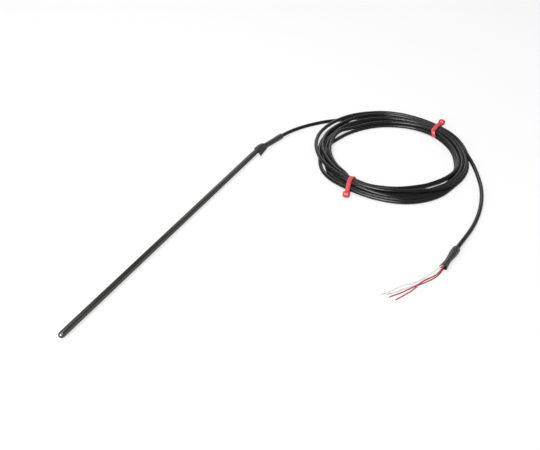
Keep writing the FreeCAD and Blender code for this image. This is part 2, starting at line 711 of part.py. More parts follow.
def cable_tie(name):
    """A closed strap with its locking head, moulded as one piece."""
    label = f"cable_tie_{name}"
    left, right, low, high = loop_sides(name)
    thick = "dims.strap_thickness"
    strap = new_body(f"{label}_strap")
    sketch = new_sketch(strap, "loop", "XZ_Plane")
    add_round_rectangle(sketch, f"({left} - {thick})", f"({right} + {thick})", f"({low} - {thick})",
                        f"({high} + {thick})", f"(dims.strap_round + {thick})")
    add_round_rectangle(sketch, left, right, low, high, "dims.strap_round")
    symmetric_pad(strap, sketch, "dims.strap_width")
    head = primitive("Part::Box", f"{label}_head", Length="dims.tie_head_height",
                     Width="dims.tie_head_width", Height="dims.tie_head_length")
    doc.recompute()
    rounded = doc.addObject("Part::Fillet", f"{label}_head_rounded")
    rounded.Base = head
    corner = size("dims.tie_head_round")
    rounded.Edges = [(number, corner, corner) for number in range(1, 13)]
    slot = primitive("Part::Box", f"{label}_slot", Length="dims.tie_slot_height",
                     Width="dims.tie_slot_width", Height="dims.tie_slot_depth")
    place_primitive(slot, "(dims.tie_head_height - dims.tie_slot_height) / 2",
                    "(dims.tie_head_width - dims.tie_slot_width) / 2",
                    "dims.tie_head_length - dims.tie_slot_depth")
    neck = primitive("Part::Box", f"{label}_neck", Length=f"dims.tie_neck + {thick} / 4 + dims.tie_head_round",
                     Width="dims.strap_width", Height=f"2 * {thick}")
    place_primitive(neck, f"-dims.tie_neck - {thick} / 4", "(dims.tie_head_width - dims.strap_width) / 2",
                    f"dims.tie_head_length / 2 - {thick}")
    locking = doc.addObject("Part::Fuse", f"{label}_locking_head")
    locking.Base = cut(f"{label}_slotted_head", rounded, slot)
    locking.Tool = neck
    # The neck starts in the strap: on the loop's upright side, or turned up on its upper corner
    turn = math.radians(size(f"dims.{name}_head_turn"))
    rise = size("dims.tie_head_length") / 2
    bend = size("dims.strap_round")
    seat = size("dims.tie_head_seat") + size("dims.tie_neck")
    if turn:
        middle = (size(right) - bend, size(high) - bend)
        seat += bend
    else:
        middle = (size(right), rise)
    locking.Placement = FreeCAD.Placement(
        FreeCAD.Vector(middle[0] + seat * math.cos(turn) + rise * math.sin(turn),
                       -size("dims.tie_head_width") / 2,
                       middle[1] + seat * math.sin(turn) - rise * math.cos(turn)),
        FreeCAD.Rotation(FreeCAD.Vector(0, 1, 0), -math.degrees(turn)),
    )
    tie = doc.addObject("Part::Fuse", label)
    tie.Base = strap
    tie.Tool = locking
    tie.Label = label
    tie_place(tie, name)
    return tie


def coil_stub(label, start, towards):
    """The straight stretch where a turn leaves the bundle."""
    along = FreeCAD.Vector(towards[0] - start[0], towards[1] - start[1], 0)
    stub = primitive("Part::Cylinder", label, Radius=CABLE_RADIUS, Height="dims.stub_length")
    stub.Placement = FreeCAD.Placement(
        FreeCAD.Vector(*start), FreeCAD.Rotation(FreeCAD.Vector(0, 0, 1), along)
    )
    return stub


def cable_coil():
    """The bundle of turns, with the two stubs where the cable enters and leaves it."""
    body = new_body("coil_bundle")
    sketch = new_sketch(body, "section", "XZ_Plane")
    half = "dims.coil_width / 2"
    add_round_rectangle(sketch, f"(dims.coil_mean_radius - {half})", f"(dims.coil_mean_radius + {half})",
                        "0", "dims.coil_height", "dims.coil_round")
    revolve(body, sketch, "V_Axis")
    place_primitive(body, "dims.coil_x", "dims.coil_y", "0")
    with_entry = doc.addObject("Part::Fuse", "coil_with_entry")
    with_entry.Base = body
    with_entry.Tool = coil_stub("coil_entry", LEAD_IN_ROUTE[-1], COIL_ENTRY)
    with_exit = doc.addObject("Part::Fuse", "coil_with_exit")
    with_exit.Base = with_entry
    with_exit.Tool = coil_stub("coil_exit", TAIL_ROUTE[0], COIL_EXIT)
    return cut("cable_coil", with_exit, groove("front"), groove("rear"))


def bare_end(label, edges):
    """The stripped strands past the end of a wire's insulation."""
    last = edges[-1]
    direction = last.tangentAt(last.LastParameter)
    end = primitive("Part::Cylinder", label, Radius="dims.conductor_diameter / 2", Height="dims.bare_length")
    end.Placement = FreeCAD.Placement(
        last.valueAt(last.LastParameter), FreeCAD.Rotation(FreeCAD.Vector(0, 0, 1), direction)
    )
    return end


# Build

parts = [sheath_tube(), tip_cap()]
element_pieces = element()
splices = splice("red", 1) + splice("white", -1)
cores = [
    core_wire(f"core_wire_{colour}_{number}", side, level)
    for colour, side in (("red", 1), ("white", -1))
    for number, level in ((1, 1), (2, -1))
]
parts += element_pieces + splices + cores
parts.append(bore_plug("tip_filler", SPIGOT_END, "dims.filler_length", *element_pieces, *splices, *cores))

lead_in_edges, lead_in_radii = route_edges(LEAD_IN_ROUTE)
tail_edges, tail_radii = route_edges(TAIL_ROUTE)
lead_in = sweep("cable_lead_in", lead_in_edges, "dims.cable_diameter")
tail = sweep("cable_tail", tail_edges, "dims.cable_diameter")
parts += [lead_in, tail]
parts.append(bore_plug("potting_plug", "(dims.sheath_length - dims.potting_length)", "dims.potting_length",
                       lead_in, *cores))
relief_edges = lead_in_edges[1:7]
relief = strain_relief_sleeve(relief_edges)
relief_outside = doc.getObject("relief_rounded")
doc.recompute()
parts += [relief, sheath_end_sleeve(relief_outside), end_sleeve(), cable_coil()]
parts += [cable_tie("front"), cable_tie("rear")]
routes = [("cable_lead_in", lead_in_edges, lead_in_radii, lead_in),
          ("cable_tail", tail_edges, tail_radii, tail)]
for name, points in WIRE_ROUTES.items():
    wire_edges, wire_radii = route_edges(points)
    wire = sweep(f"lead_wire_{name}", wire_edges, "dims.wire_diameter")
    routes.append((wire.Label, wire_edges, wire_radii, wire))
    parts += [wire, bare_end(f"bare_end_{name}", wire_edges)]

doc.recompute()

for thing in doc.Objects:
    if "Invalid" in thing.State or "Error" in thing.State:
        raise RuntimeError(f"{thing.Label} failed: {thing.getStatusString()}")
for part in parts:
    if part.Shape.isNull() or not part.Shape.isValid() or not part.Shape.Solids:
        raise RuntimeError(f"{part.Label} has no valid shape")

for label, edges, radii, tube in routes:
    length = sum(edge.Length for edge in edges)
    section = math.pi * (size("dims.cable_diameter" if "cable" in label else "dims.wire_diameter") / 2) ** 2
    print(f"{label}: length {length:.1f} mm, volume {tube.Shape.Volume:.1f} against "
          f"{section * length:.1f} mm3, radii {[round(radius, 1) for radius in radii]}")

os.makedirs("parts", exist_ok=True)
for part in parts:
    part.Shape.exportStep(f"parts/{part.Label}.step")
print(f"{len(parts)} sub-parts written")
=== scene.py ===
import math

import bmesh
import bpy
from bpy.props import FloatProperty, FloatVectorProperty, PointerProperty
from bpy.types import Operator, Panel, PropertyGroup
from mathutils import Matrix, Vector, noise


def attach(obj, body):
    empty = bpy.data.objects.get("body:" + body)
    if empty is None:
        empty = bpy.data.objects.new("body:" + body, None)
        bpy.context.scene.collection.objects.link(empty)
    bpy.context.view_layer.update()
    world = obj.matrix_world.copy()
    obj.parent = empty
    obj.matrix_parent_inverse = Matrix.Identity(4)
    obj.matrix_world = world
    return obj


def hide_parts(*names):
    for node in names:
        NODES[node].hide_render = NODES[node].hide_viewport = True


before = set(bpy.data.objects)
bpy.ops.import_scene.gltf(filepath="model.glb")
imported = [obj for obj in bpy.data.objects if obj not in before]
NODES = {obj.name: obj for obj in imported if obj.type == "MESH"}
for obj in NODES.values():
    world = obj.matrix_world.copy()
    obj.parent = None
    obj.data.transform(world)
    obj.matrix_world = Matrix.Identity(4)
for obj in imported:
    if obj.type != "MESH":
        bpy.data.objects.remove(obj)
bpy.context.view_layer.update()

bl_info = {
    "name": "Resistance thermometer probe",
    "version": (1, 0, 0),
    "blender": (4, 5, 0),
    "location": "3D View > Sidebar > Probe",
    "description": "Dresses a sheathed temperature probe with its coiled lead, sleeves, ties and wire ends",
    "category": "Object",
}

MM = 0.001

# The cable's route from the sheath's mouth to the coil and from the coil to its end, in millimetres
LEAD_IN = (
    (169.5, 0, 3.825), (181, 0, 3.825), (192.5, -4.4, 3.75), (213.5, -8.2, 3.55), (228.5, -11.6, 3.25),
    (241, -15.3, 2.5), (253, -20.8, 2.15), (263.6, -27.4, 2.15), (273.6, -34.9, 2.15), (283, -42.7, 2.15),
    (292.5, -53.0, 2.15), (301.5, -63.2, 2.15), (312.2, -75.8, 2.15),
)
TAIL = (
    (286.4, -240.6, 3.8), (277.4, -247.5, 2.6), (266, -254.3, 2.15), (253.6, -260.7, 2.15),
    (240.5, -266.8, 2.15), (225, -271.9, 2.15), (209, -275.7, 2.15), (192.5, -278.1, 2.15),
    (175.5, -279.2, 2.15), (160.5, -278.9, 2.3), (145.5, -277.75, 3.1), (127.5, -275.673, 3.85),
    (109.5, -274.035, 3.85),
)
# The middle of the coil, and the degrees between two control points of its turns
COIL_CENTRE = (251.0, -150.5)
COIL_STEP = 6
# How far a quadratic spline draws a ring of control points in, at that step
RING_SHRINK = (6 + 2 * math.cos(math.radians(COIL_STEP))) / 8
# Where each turn lies: degrees round the coil, distance out from the mean radius and height, in millimetres
TURNS = (
    ((39, 11.2, 2.9), (25, 9.8, 2.9), (10, 8.4, 2.9), (-5, 7.2, 3.0), (-20, 7.0, 3.4), (-35, 7.0, 2.8),
     (-50, 7.6, 2.15), (-67, 7.8, 2.15), (-75, 8.2, 2.15), (-82, 8.0, 2.15), (-91, 7.4, 2.15),
     (-100, 6.5, 2.15), (-108, 6.4, 2.15), (-115, 8.2, 2.15), (-120, 9.3, 2.15), (-126, 10.2, 2.15),
     (-134, 11.0, 2.15), (-148, 11.2, 2.15), (-166, 9.0, 2.4), (-181, 8.2, 3.0), (-193, 8.6, 3.4),
     (-202, 9.4, 2.9), (-208, 10.1, 2.4), (-217, 10.3, 2.15), (-222, 9.6, 2.15), (-229, 8.1, 2.15),
     (-234, 6.0, 2.15), (-240, 5.6, 2.15), (-248, 6.2, 2.15), (-260, 7.0, 2.15), (-272, 7.2, 2.15),
     (-285, 6.2, 2.15), (-300, 4.4, 2.15)),
    ((39, 2.6, 2.15), (-20, 2.6, 3.4), (-50, 3.2, 2.15), (-67, 3.5, 2.15), (-80, 3.9, 2.15),
     (-91, 3.2, 2.15), (-100, 2.2, 2.15), (-108, 2.2, 2.15), (-115, 3.9, 2.15), (-122, 5.2, 2.15),
     (-135, 6.2, 2.15), (-150, 6.2, 2.15), (-166, 4.6, 2.4), (-193, 4.5, 3.4), (-204, 5.3, 2.7),
     (-212, 5.8, 2.2), (-218, 4.4, 2.15), (-223, 2.2, 2.15), (-229, 1.0, 2.15), (-235, 1.1, 2.15),
     (-241, 1.5, 2.15), (-248, 2.0, 2.15), (-260, 2.3, 2.15), (-272, 2.2, 2.15), (-285, 1.2, 2.15),
     (-300, -0.4, 2.15)),
    ((39, -1.9, 2.15), (-20, -1.9, 3.4), (-50, -1.3, 2.15), (-67, -0.8, 2.15), (-80, -0.3, 2.15),
     (-91, -1.0, 2.15), (-100, -2.0, 2.15), (-108, -2.0, 2.15), (-115, -0.4, 2.15), (-122, 0.8, 2.15),
     (-135, 1.6, 2.15), (-150, 1.6, 2.3), (-166, 1.8, 4.2), (-180, 2.1, 6.2), (-193, 2.3, 7.05),
     (-201, 1.4, 5.4), (-209, 0.8, 3.4), (-217, -0.4, 2.3), (-223, -2.4, 2.15), (-230, -3.2, 2.15),
     (-237, -2.7, 2.15), (-248, -2.0, 2.8), (-260, -1.8, 4.2), (-272, -1.6, 5.2), (-285, -1.2, 5.6),
     (-303, -1.1, 5.8)),
    ((39, -1.0, 5.8), (-20, -0.5, 7.05), (-45, 0.4, 6.1), (-65, 0.9, 5.8), (-80, 1.4, 5.8), (-91, 1.0, 5.8),
     (-103, 1.4, 5.8), (-110, 0.9, 5.7), (-117, -0.5, 5.4), (-125, -2.4, 4.4), (-135, -3.5, 2.9),
     (-143, -3.9, 2.15), (-166, -2.2, 2.5), (-193, 0.3, 3.4), (-205, -3.2, 2.8), (-217, -6.4, 2.15),
     (-229, -6.8, 2.15), (-240, -5.8, 2.15), (-249, -4.3, 2.15), (-256, -4.5, 2.15), (-262, -5.8, 2.15),
     (-268, -8.4, 2.15), (-275, -10.6, 2.15), (-282, -11.8, 2.15), (-289, -13.0, 2.15), (-297, -14.0, 2.15),
     (-305, -14.4, 2.15), (-318, -14.0, 2.15)),
    ((30, -13.0, 2.15), (13, -11.6, 2.3), (-1, -9.8, 2.8), (-10, -9.4, 3.1), (-20, -8.4, 3.4),
     (-28, -7.5, 2.9), (-40, -6.6, 2.15), (-53, -6.3, 2.15), (-66, -6.3, 2.15), (-75, -5.8, 2.15),
     (-82, -4.7, 2.15), (-88, -4.7, 2.15), (-95, -5.8, 2.15), (-100, -7.3, 2.15), (-105, -8.8, 2.15),
     (-110, -9.9, 2.15), (-116, -11.5, 2.15), (-125, -12.8, 2.15), (-135, -13.6, 2.15), (-150, -12.8, 2.15),
     (-160, -11.4, 2.2), (-170, -9.4, 2.5), (-180, -7.0, 3.0), (-193, -4.1, 3.4), (-199, -6.4, 5.3),
     (-205, -8.4, 6.2), (-211, -8.6, 6.2), (-217, -8.3, 6.0), (-230, -7.9, 5.9), (-243, -7.0, 5.9),
     (-250, -6.5, 5.9), (-258, -5.9, 5.8), (-265, -5.2, 5.8), (-271, -4.7, 5.8), (-278, -4.2, 5.8),
     (-284, -5.0, 5.7), (-290, -8.4, 5.3), (-297, -10.2, 5.0), (-305, -10.6, 4.9), (-317, -10.6, 5.0)),
    ((30, -9.8, 5.2), (13, -8.6, 5.6), (-1, -7.0, 6.2), (-20, -5.4, 7.05), (-30, -5.8, 6.6),
     (-41, -5.8, 6.1), (-55, -5.2, 5.9), (-65, -4.2, 5.8), (-75, -3.4, 5.8), (-82, -3.0, 5.8),
     (-88, -3.5, 5.7), (-95, -5.2, 5.6), (-100, -6.3, 5.5), (-105, -7.6, 5.5), (-110, -8.7, 5.4),
     (-116, -10.0, 5.4), (-125, -10.6, 5.4), (-135, -11.8, 5.5), (-143, -11.8, 5.5), (-152, -10.9, 5.5),
     (-160, -10.3, 5.5), (-168, -9.3, 5.6), (-175, -7.4, 5.9), (-182, -6.4, 6.4), (-193, -5.6, 7.05),
     (-205, -4.4, 6.7), (-211, -4.4, 6.4), (-217, -4.0, 6.2), (-229, -2.6, 5.9), (-237, -0.8, 5.9),
     (-248, 2.0, 5.8), (-260, 4.8, 5.8), (-266, 5.6, 5.8), (-272, 6.2, 5.8), (-279, 6.3, 5.8),
     (-286, 6.3, 5.8), (-297, 7.0, 5.8), (-305, 8.8, 5.8), (-313, 10.0, 5.8)),
    ((39, 10.0, 5.8), (25, 9.4, 5.9), (12, 7.6, 6.1), (0, 5.4, 6.4), (-10, 4.4, 6.8), (-20, 3.9, 7.05),
     (-45, 4.6, 6.1), (-58, 4.9, 5.8), (-70, 5.5, 5.8), (-82, 5.8, 5.8), (-91, 5.3, 5.8), (-105, 4.4, 5.8),
     (-115, 4.2, 5.8), (-130, -1.5, 6.1), (-140, -4.2, 6.0), (-150, -5.4, 5.9), (-160, -5.0, 6.0),
     (-175, -3.4, 6.6), (-193, -1.8, 7.05), (-202, -1.0, 6.9), (-209, -0.2, 6.7), (-218, 2.0, 6.6),
     (-228, 4.9, 6.5), (-237, 7.4, 6.4), (-246, 9.8, 6.2), (-253, 11.7, 6.1), (-259, 13.0, 6.0),
     (-267, 14.4, 6.0), (-276, 15.1, 6.2), (-285, 14.9, 6.5), (-294, 14.8, 6.8), (-303, 14.7, 6.8),
     (-312, 14.5, 6.6)),
    ((40, 14.2, 6.4), (30, 14.0, 6.4), (22, 13.3, 6.4), (15, 12.3, 6.4), (0, 9.7, 6.6), (-12, 8.3, 6.9),
     (-20, 8.0, 7.05), (-30, 9.0, 6.7), (-40, 9.6, 6.2), (-50, 9.1, 5.9), (-55, 8.8, 5.8), (-61, 8.8, 5.2)),
)

# The four lead wires, from inside the end sleeve to where their insulation stops
WIRES = {
    "lead_wire_red_1": (
        (109.436, -274.732, 3.15), (98, -273.7, 3.1), (87.5, -272.6, 2.1), (79.5, -271.4, 1.0),
        (72.8, -269.8, 0.65), (66.2, -266.9, 0.65), (58.5, -262.3, 0.65), (50.5, -256.7, 0.65),
        (42.4, -251.9, 0.65), (34.2, -247.4, 0.65), (26.4, -241.6, 0.65), (23.0, -239.1, 0.65)),
    "lead_wire_red_2": (
        (109.436, -274.732, 4.55), (98, -273.6, 4.5), (87.5, -271.9, 3.8), (79, -270.7, 2.4),
        (71.6, -268.3, 2.1), (65.4, -264.2, 2.1), (59.6, -260.7, 2.1), (53.4, -258.6, 2.05),
        (46.4, -256.9, 1.2), (39.2, -254.2, 0.65), (32.2, -250.6, 0.65), (26.6, -248.0, 0.65),
        (22.8, -246.2, 0.65)),
    "lead_wire_white_1": (
        (109.564, -273.338, 4.55), (98.5, -272.3, 4.7), (90.5, -270.9, 4.9), (84.2, -269.1, 4.4),
        (77.8, -266.0, 3.0), (70.2, -262.0, 1.3), (62.3, -258.3, 0.65), (55.6, -255.1, 0.65),
        (51.2, -251.6, 0.65), (47.0, -247.3, 0.65), (42.0, -243.1, 0.65), (36.6, -240.1, 0.65),
        (31.0, -237.5, 0.65), (26.4, -234.2, 0.65)),
    "lead_wire_white_2": (
        (109.564, -273.338, 3.15), (98, -272.2, 3.1), (88, -270.8, 2.2), (79.5, -269.2, 1.1),
        (72.2, -267.0, 0.65), (64.8, -263.3, 0.65), (57.2, -258.9, 0.65), (50.2, -254.7, 0.65),
        (44.4, -250.6, 0.65), (38.6, -246.2, 0.65), (32.6, -242.5, 0.65), (28.6, -239.0, 0.65)),
}
# Bare strands past the insulation, whose twist is in degrees over their whole length
RED_BARE_LENGTH = 2.0
WHITE_BARE_LENGTH = 6.0
STRANDS = 7
STRAND_TWIST = 300
STRAND_STEPS = 16
# Steps between two control points of a cord, and corners in a quarter of its outline
CORD_DETAIL = 6
CORD_AROUND = 5

# The sleeve on the sheath's mouth: place along the sheath, the hub's place and radius, and its two creases
END_CREASES = (
    (168.6, (0.0, 3.825), 3.6, ((-8.1, 1.1), (4.3, 5.3))),
    (171.5, (0.0, 3.85), 3.62, ((-8.0, 1.3), (4.3, 5.3))),
    (174.6, (0.0, 3.9), 3.7, ((-7.9, 1.6), (4.3, 5.35))),
    (177.0, (0.05, 4.1), 3.95, ((-7.7, 1.9), (3.5, 5.9))),
    (180.0, (0.0, 4.3), 4.25, ((-7.5, 2.1), (2.8, 6.2))),
    (183.5, (-0.6, 4.35), 4.35, ((-7.4, 2.4), (2.0, 6.4))),
    (186.0, (-1.6, 4.3), 4.3, ((-7.2, 2.6), (1.0, 6.3))),
    (187.6, (-2.4, 4.2), 4.1, ((-6.9, 2.8), (0.2, 6.0))),
    (188.4, (-3.0, 3.95), 3.65, ((-6.5, 3.0), (-0.6, 5.5))),
)
# A crease's radius at its tip, the least that the wall leaves of it inside, its root as a share of the
# hub's radius, and how much of the tip stands past the crease's end
CREASE_RADIUS = 0.5
CREASE_LEAST = 0.04
CREASE_ROOT = 0.42
CREASE_TIP_SHARE = 0.6
# Corners of a section in degrees: evenly round the hub, and closer on each side of a crease
HUB_STEP = 6
CREASE_STEP = 1.5
CREASE_STEPS = 9
# The front edge's place on the sheath, its reach forward into the low crease and its slant beside the high one
FRONT_EDGE = 174.3
FRONT_REACH = 5.2
FRONT_REACH_FROM = -2.4
FRONT_REACH_WIDTH = 5.9
FRONT_REACH_CURVE = 2.4
FRONT_SLANT = 0.3
FRONT_SLANT_FROM = 2.5
# How far the next two sections stay behind it
SECTION_GAP = 0.6
# The hollow in the rear edge: its depth, its middle and how fast it rises to each side
REAR_HOLLOW = 2.2
REAR_HOLLOW_MIDDLE = -1.6
REAR_HOLLOW_SPREAD = 15
# Thickness of the mouth sleeve and of the end sleeve
SLEEVE_WALL = 0.55
# The strain relief, in metres along the lead: its start, its first stretch, what it has under the mouth
# sleeve and its room round the cable; then its outline, as shares of its length and of its outside radius
RELIEF_START = 0.0068
RELIEF_FIRST = 0.004
RELIEF_UNDER = 0.0055
RELIEF_ROOM = 0.00012
RELIEF_SHAPE = (
    (0.45, 0.98), (0.55, 0.97), (0.65, 0.99), (0.75, 1.01), (0.84, 1.03), (0.92, 1.04), (0.97, 1.03),
    (0.988, 0.98), (0.998, 0.88), (1.0, 0.74),
)
# How many of its sections, from the first, are crumpled
RELIEF_CRUMPLED = 9
# How a sleeve is crumpled: the noise's scale and depth, which for the end sleeve are in millimetres
MOUTH_CRUMPLE = (420, 0.00022)
END_CRUMPLE = (0.33, 0.2)
RELIEF_CRUMPLE = (380, 0.00016)
CRUMPLE_SEED = 1
# The sleeve on the cable's end: distance from its start, radius
END_SLEEVE_FROM = (120.1, -275.0, 3.85)
END_SLEEVE_TURN = 174.8
END_SLEEVE_SHAPE = (
    (0.0, 2.6), (0.3, 3.4), (0.9, 4.0), (2.2, 4.25), (5.0, 4.3), (9.0, 4.2), (13.0, 3.9), (17.0, 3.45),
    (20.5, 3.15), (24.0, 3.1), (28.0, 3.25), (31.5, 3.55), (34.0, 3.8), (35.2, 3.9),
)
END_SLEEVE_BORE = 2.2
# Where its open end starts to flatten, over what length, and by what shares it is pressed and spread
FLAT_FROM = 23
FLAT_LENGTH = 12
FLAT_PRESS = 0.16
FLAT_SPREAD = 0.06
# The hollow between its two ears: depth, and how fast it rises to each side
EAR_HOLLOW = 2.4
EAR_HOLLOW_SPREAD = 5.2
# The floor under it, from its middle
END_SLEEVE_REST = -3.8
# Cable ties: degrees round the coil, slant across the bundle, corners of the strap's loop as distance out,
# shift along the coil and height, and the head's middle and upward turn
TIES = {
    "cable_tie_front": (
        166.6, 26, ((-9.4, 5.4, 0.7), (12.0, 1.0, 0.7), (18.8, 0, 2.6), (18.8, 0, 3.8), (4.2, -1.0, 10.5),
                    (-9.2, 0.8, 10.4)),
        (21.5, 3.5), -8),
    "cable_tie_rear": (
        -20, 12, ((-12.6, -6.0, 0.7), (10.8, -1.5, 0.7), (16.2, 0, 7.6), (16.2, 0, 9.0), (8.6, 0.6, 10.5),
                  (-12.2, -1.6, 10.7)),
        (18.9, 8.5), 12),
}
# The strap's bends, all but those at its straight corners beside the head, and its rounded rims, in metres
STRAP_BEND = 0.0044
STRAP_BEND_STEPS = 9
STRAIGHT_CORNERS = (2, 3)
STRAP_RIM = 0.0003
# The head's size and rounding, the wells in its faces, and the strap's cut end in it
HEAD_SIZE = (0.0070, 0.0088, 0.0076)
HEAD_ROUND = 0.0030
HEAD_STEPS = 7
WELL_RIM = 0.0001
WELL_SLOPE = 0.00025
WELL_DEPTH = 0.0009
CUT_END_LENGTH = 0.0065
CUT_END_SHARE = 0.86

# Lamps: place, aim and width in metres, and those that light only what shines
LAMPS = {
    "key": ((-1.3, -0.2, 0.96), (0.05, -0.1, 0.0), 0.9),
    "overhead": ((-0.04, 0.34, 1.3), (0.14, 0.0, 0.0), 1.1),
    "spark": ((-1.3, -0.2, 0.96), (-0.17, 0.0, 0.0), 1.5),
    "rim": ((1.25, 0.55, 0.95), (0.2, -0.15, 0.0), 0.9),
}
HIGHLIGHT_LAMPS = ("spark", "rim")
# Power as a share of the key light's
OVERHEAD_SHARE = 0.7
RIM_SHARE = 0.45
FLOOR_RADIUS = 6
FLOOR_DROP = 0.0001
# How white the floor and the surroundings are to each kind of ray
FLOOR_SEEN = (("Is Camera Ray", 0.62), ("Is Transmission Ray", 0.62), ("Is Glossy Ray", 0.3))
WORLD_SEEN = (("Is Camera Ray", 1), ("Is Transmission Ray", 1), ("Is Glossy Ray", 1))
AMBIENT = 0.55
CAMERA_PLACE = (-0.41395, -0.35658, 0.45869)
CAMERA_DIRECTION = (0.66444, 0.38117, -0.64283)
SENSOR_WIDTH = 36


class ProbeSizes(PropertyGroup):
    """Sizes of the dressed pieces"""

    cable_diameter: FloatProperty(
        name="Cable diameter", description="Across the lead's jacket", default=0.00465, unit="LENGTH")
    coil_radius: FloatProperty(
        name="Coil radius", description="Middle of the bundle of turns", default=0.0842, unit="LENGTH")
    wire_diameter: FloatProperty(
        name="Wire diameter", description="Across a lead wire's insulation", default=0.00125, unit="LENGTH")
    conductor_diameter: FloatProperty(
        name="Conductor diameter", description="Across a bare wire end", default=0.0006, unit="LENGTH")
    relief_diameter: FloatProperty(
        name="Strain relief diameter", description="Across the sleeve on the lead-in", default=0.0070,
        unit="LENGTH")
    relief_length: FloatProperty(
        name="Strain relief length", description="Along the lead from the sheath's mouth", default=0.0475,
        unit="LENGTH")
    strap_width: FloatProperty(
        name="Strap width", description="Width of a cable tie's strap", default=0.0053, unit="LENGTH")
    strap_thickness: FloatProperty(
        name="Strap thickness", description="Thickness of a cable tie's strap", default=0.00125,
        unit="LENGTH")


class ProbeColours(PropertyGroup):
    """Colours of the pieces"""

    # Darkened far below bright steel: painted shade, standing in for the dark reflections that the tube shows
    sheath: FloatVectorProperty(
        name="Sheath", description="Polished metal tube", subtype="COLOR", default=(0.085, 0.087, 0.077))
    sleeve: FloatVectorProperty(
        name="Sleeves", description="Heat shrink sleeves", subtype="COLOR", default=(0.016, 0.0165, 0.0165))
    jacket: FloatVectorProperty(
        name="Cable jacket", description="Outside of the lead", subtype="COLOR",
        default=(0.0085, 0.0088, 0.0088))
    tie: FloatVectorProperty(
        name="Cable ties", description="Moulded ties on the coil", subtype="COLOR",
        default=(0.63, 0.028, 0.042))
    red_wire: FloatVectorProperty(
        name="Red wires", description="Insulation of one pair", subtype="COLOR", default=(0.36, 0.014, 0.060))
    white_wire: FloatVectorProperty(
        name="White wires", description="Insulation of the other pair", subtype="COLOR",
        default=(0.74, 0.74, 0.72))
    strand: FloatVectorProperty(
        name="Bare strands", description="Stripped wire ends", subtype="COLOR", default=(0.62, 0.52, 0.44))


class StageSettings(PropertyGroup):
    """Floor, light and lens"""

    floor: FloatVectorProperty(
        name="Floor", description="Plain pale floor", subtype="COLOR", default=(0.92, 0.92, 0.92))
    key_power: FloatProperty(
        name="Key light", description="Power of the large lamp at the front left", default=13.0, unit="POWER")
    spark_power: FloatProperty(
        name="Highlight lamp", description="Power of the lamp that only shows as a highlight", default=90.0,
        unit="POWER")
    lens: FloatProperty(
        name="Lens", description="Focal length on a 36 mm sensor", default=43.333, unit="CAMERA")


def add_object(name, data):
    """Link a new object at the origin."""
    obj = bpy.data.objects.new(name, data)
    bpy.context.scene.collection.objects.link(obj)
    return obj


def dress(obj, material):
    """Give a piece or a CAD node one material."""
    obj.data.materials.clear()
    obj.data.materials.append(material)


def metres(points):
    """A route in metres."""
    return [Vector(point) * MM for point in points]


def spline_cord(name, points, diameter):
    """A cord on one open quadratic spline."""
    curve = bpy.data.curves.new(name, "CURVE")
    curve.dimensions = "3D"
    curve.resolution_u = CORD_DETAIL
    curve.bevel_depth = diameter / 2
    curve.bevel_resolution = CORD_AROUND
    curve.use_fill_caps = True
    spline = curve.splines.new("NURBS")
    spline.points.add(len(points) - 1)
    for point, place in zip(spline.points, points):
        point.co = (*place, 1)
    spline.order_u = 3
    spline.use_endpoint_u = True
    return add_object(name, curve)


def station_between(stations, angle):
    """Distance out and height at one angle, on a smooth line through the stations."""
    last = len(stations) - 1
    index = 0
    while index < last - 1 and stations[index + 1][0] > angle:
        index += 1
    before, after = stations[index], stations[index + 1]
    span = after[0] - before[0]
    share = (angle - before[0]) / span

    def slope(at, axis):
        low, high = stations[max(at - 1, 0)], stations[min(at + 1, last)]
        return (high[axis] - low[axis]) / (high[0] - low[0]) * span

    square, cube = share ** 2, share ** 3
    return [
        (2 * cube - 3 * square + 1) * before[axis] + (cube - 2 * square + share) * slope(index, axis)
        + (3 * square - 2 * cube) * after[axis] + (cube - square) * slope(index + 1, axis)
        for axis in (1, 2)
    ]


def coil_points(mean_radius):
    """Control points of the coil's turns, wound clockwise seen from above."""
    stations = [(angle - 360 * turn, out, high)
                for turn, places in enumerate(TURNS) for angle, out, high in places]
    first, last = stations[0][0], stations[-1][0]
    count = round((first - last) / COIL_STEP)
    points = []
    for number in range(count + 1):
        angle = first + (last - first) * number / count
        out, high = station_between(stations, angle)
        reach = (mean_radius / MM + out) / RING_SHRINK
        turned = math.radians(angle)
        points.append((COIL_CENTRE[0] + reach * math.cos(turned),
                       COIL_CENTRE[1] + reach * math.sin(turned), high))
    return points


def centreline(cord):
    """Points along a cord, read from its spline."""
    plain = cord.copy()
    plain.data = cord.data.copy()
    plain.data.bevel_depth = 0
    mesh = bpy.data.meshes.new_from_object(plain)
    points = [vertex.co.copy() for vertex in mesh.vertices]
    bpy.data.meshes.remove(mesh)
    bpy.data.curves.remove(plain.data)
    return points


def along(points, distance):
    """Place and direction at a distance along a line of points."""
    for start, end in zip(points, points[1:]):
        step = (end - start).length
        if distance <= step:
            return start.lerp(end, distance / step), (end - start).normalized()
        distance -= step
    return points[-1], (points[-1] - points[-2]).normalized()


def across(place, direction):
    """A frame with its Z along a direction and its Y as level as it can be."""
    side = Vector((0, 0, 1)).cross(direction).normalized()
    turn = Matrix((direction.cross(side) * -1, side, direction)).transposed()
    return Matrix.LocRotScale(place, turn, None)


def once(items):
    """The items in the order met, each one once, so that every run builds the same mesh."""
    return list(dict.fromkeys(items))


def add_ring(sheet, matrix, radius, segments=48):
    """A ring of vertices across a frame's Z."""
    return bmesh.ops.create_circle(sheet, segments=segments, radius=radius, matrix=matrix)["verts"]


def skin(sheet, rings):
    """Join rings of vertices one after another into a wall, and the last to the first."""
    loops = [once(edge for vert in ring for edge in vert.link_edges) for ring in rings]
    for first, second in zip(loops, loops[1:] + loops[:1]):
        bmesh.ops.bridge_loops(sheet, edges=first + second)
    bmesh.ops.recalc_face_normals(sheet, faces=sheet.faces)


def crumple(verts, scale, depth):
    """Move vertices in and out a little, as shrunk plastic lies over what is under it."""
    noise.seed_set(CRUMPLE_SEED)
    for vert in verts:
        vert.co += noise.noise_vector(vert.co * scale) * depth


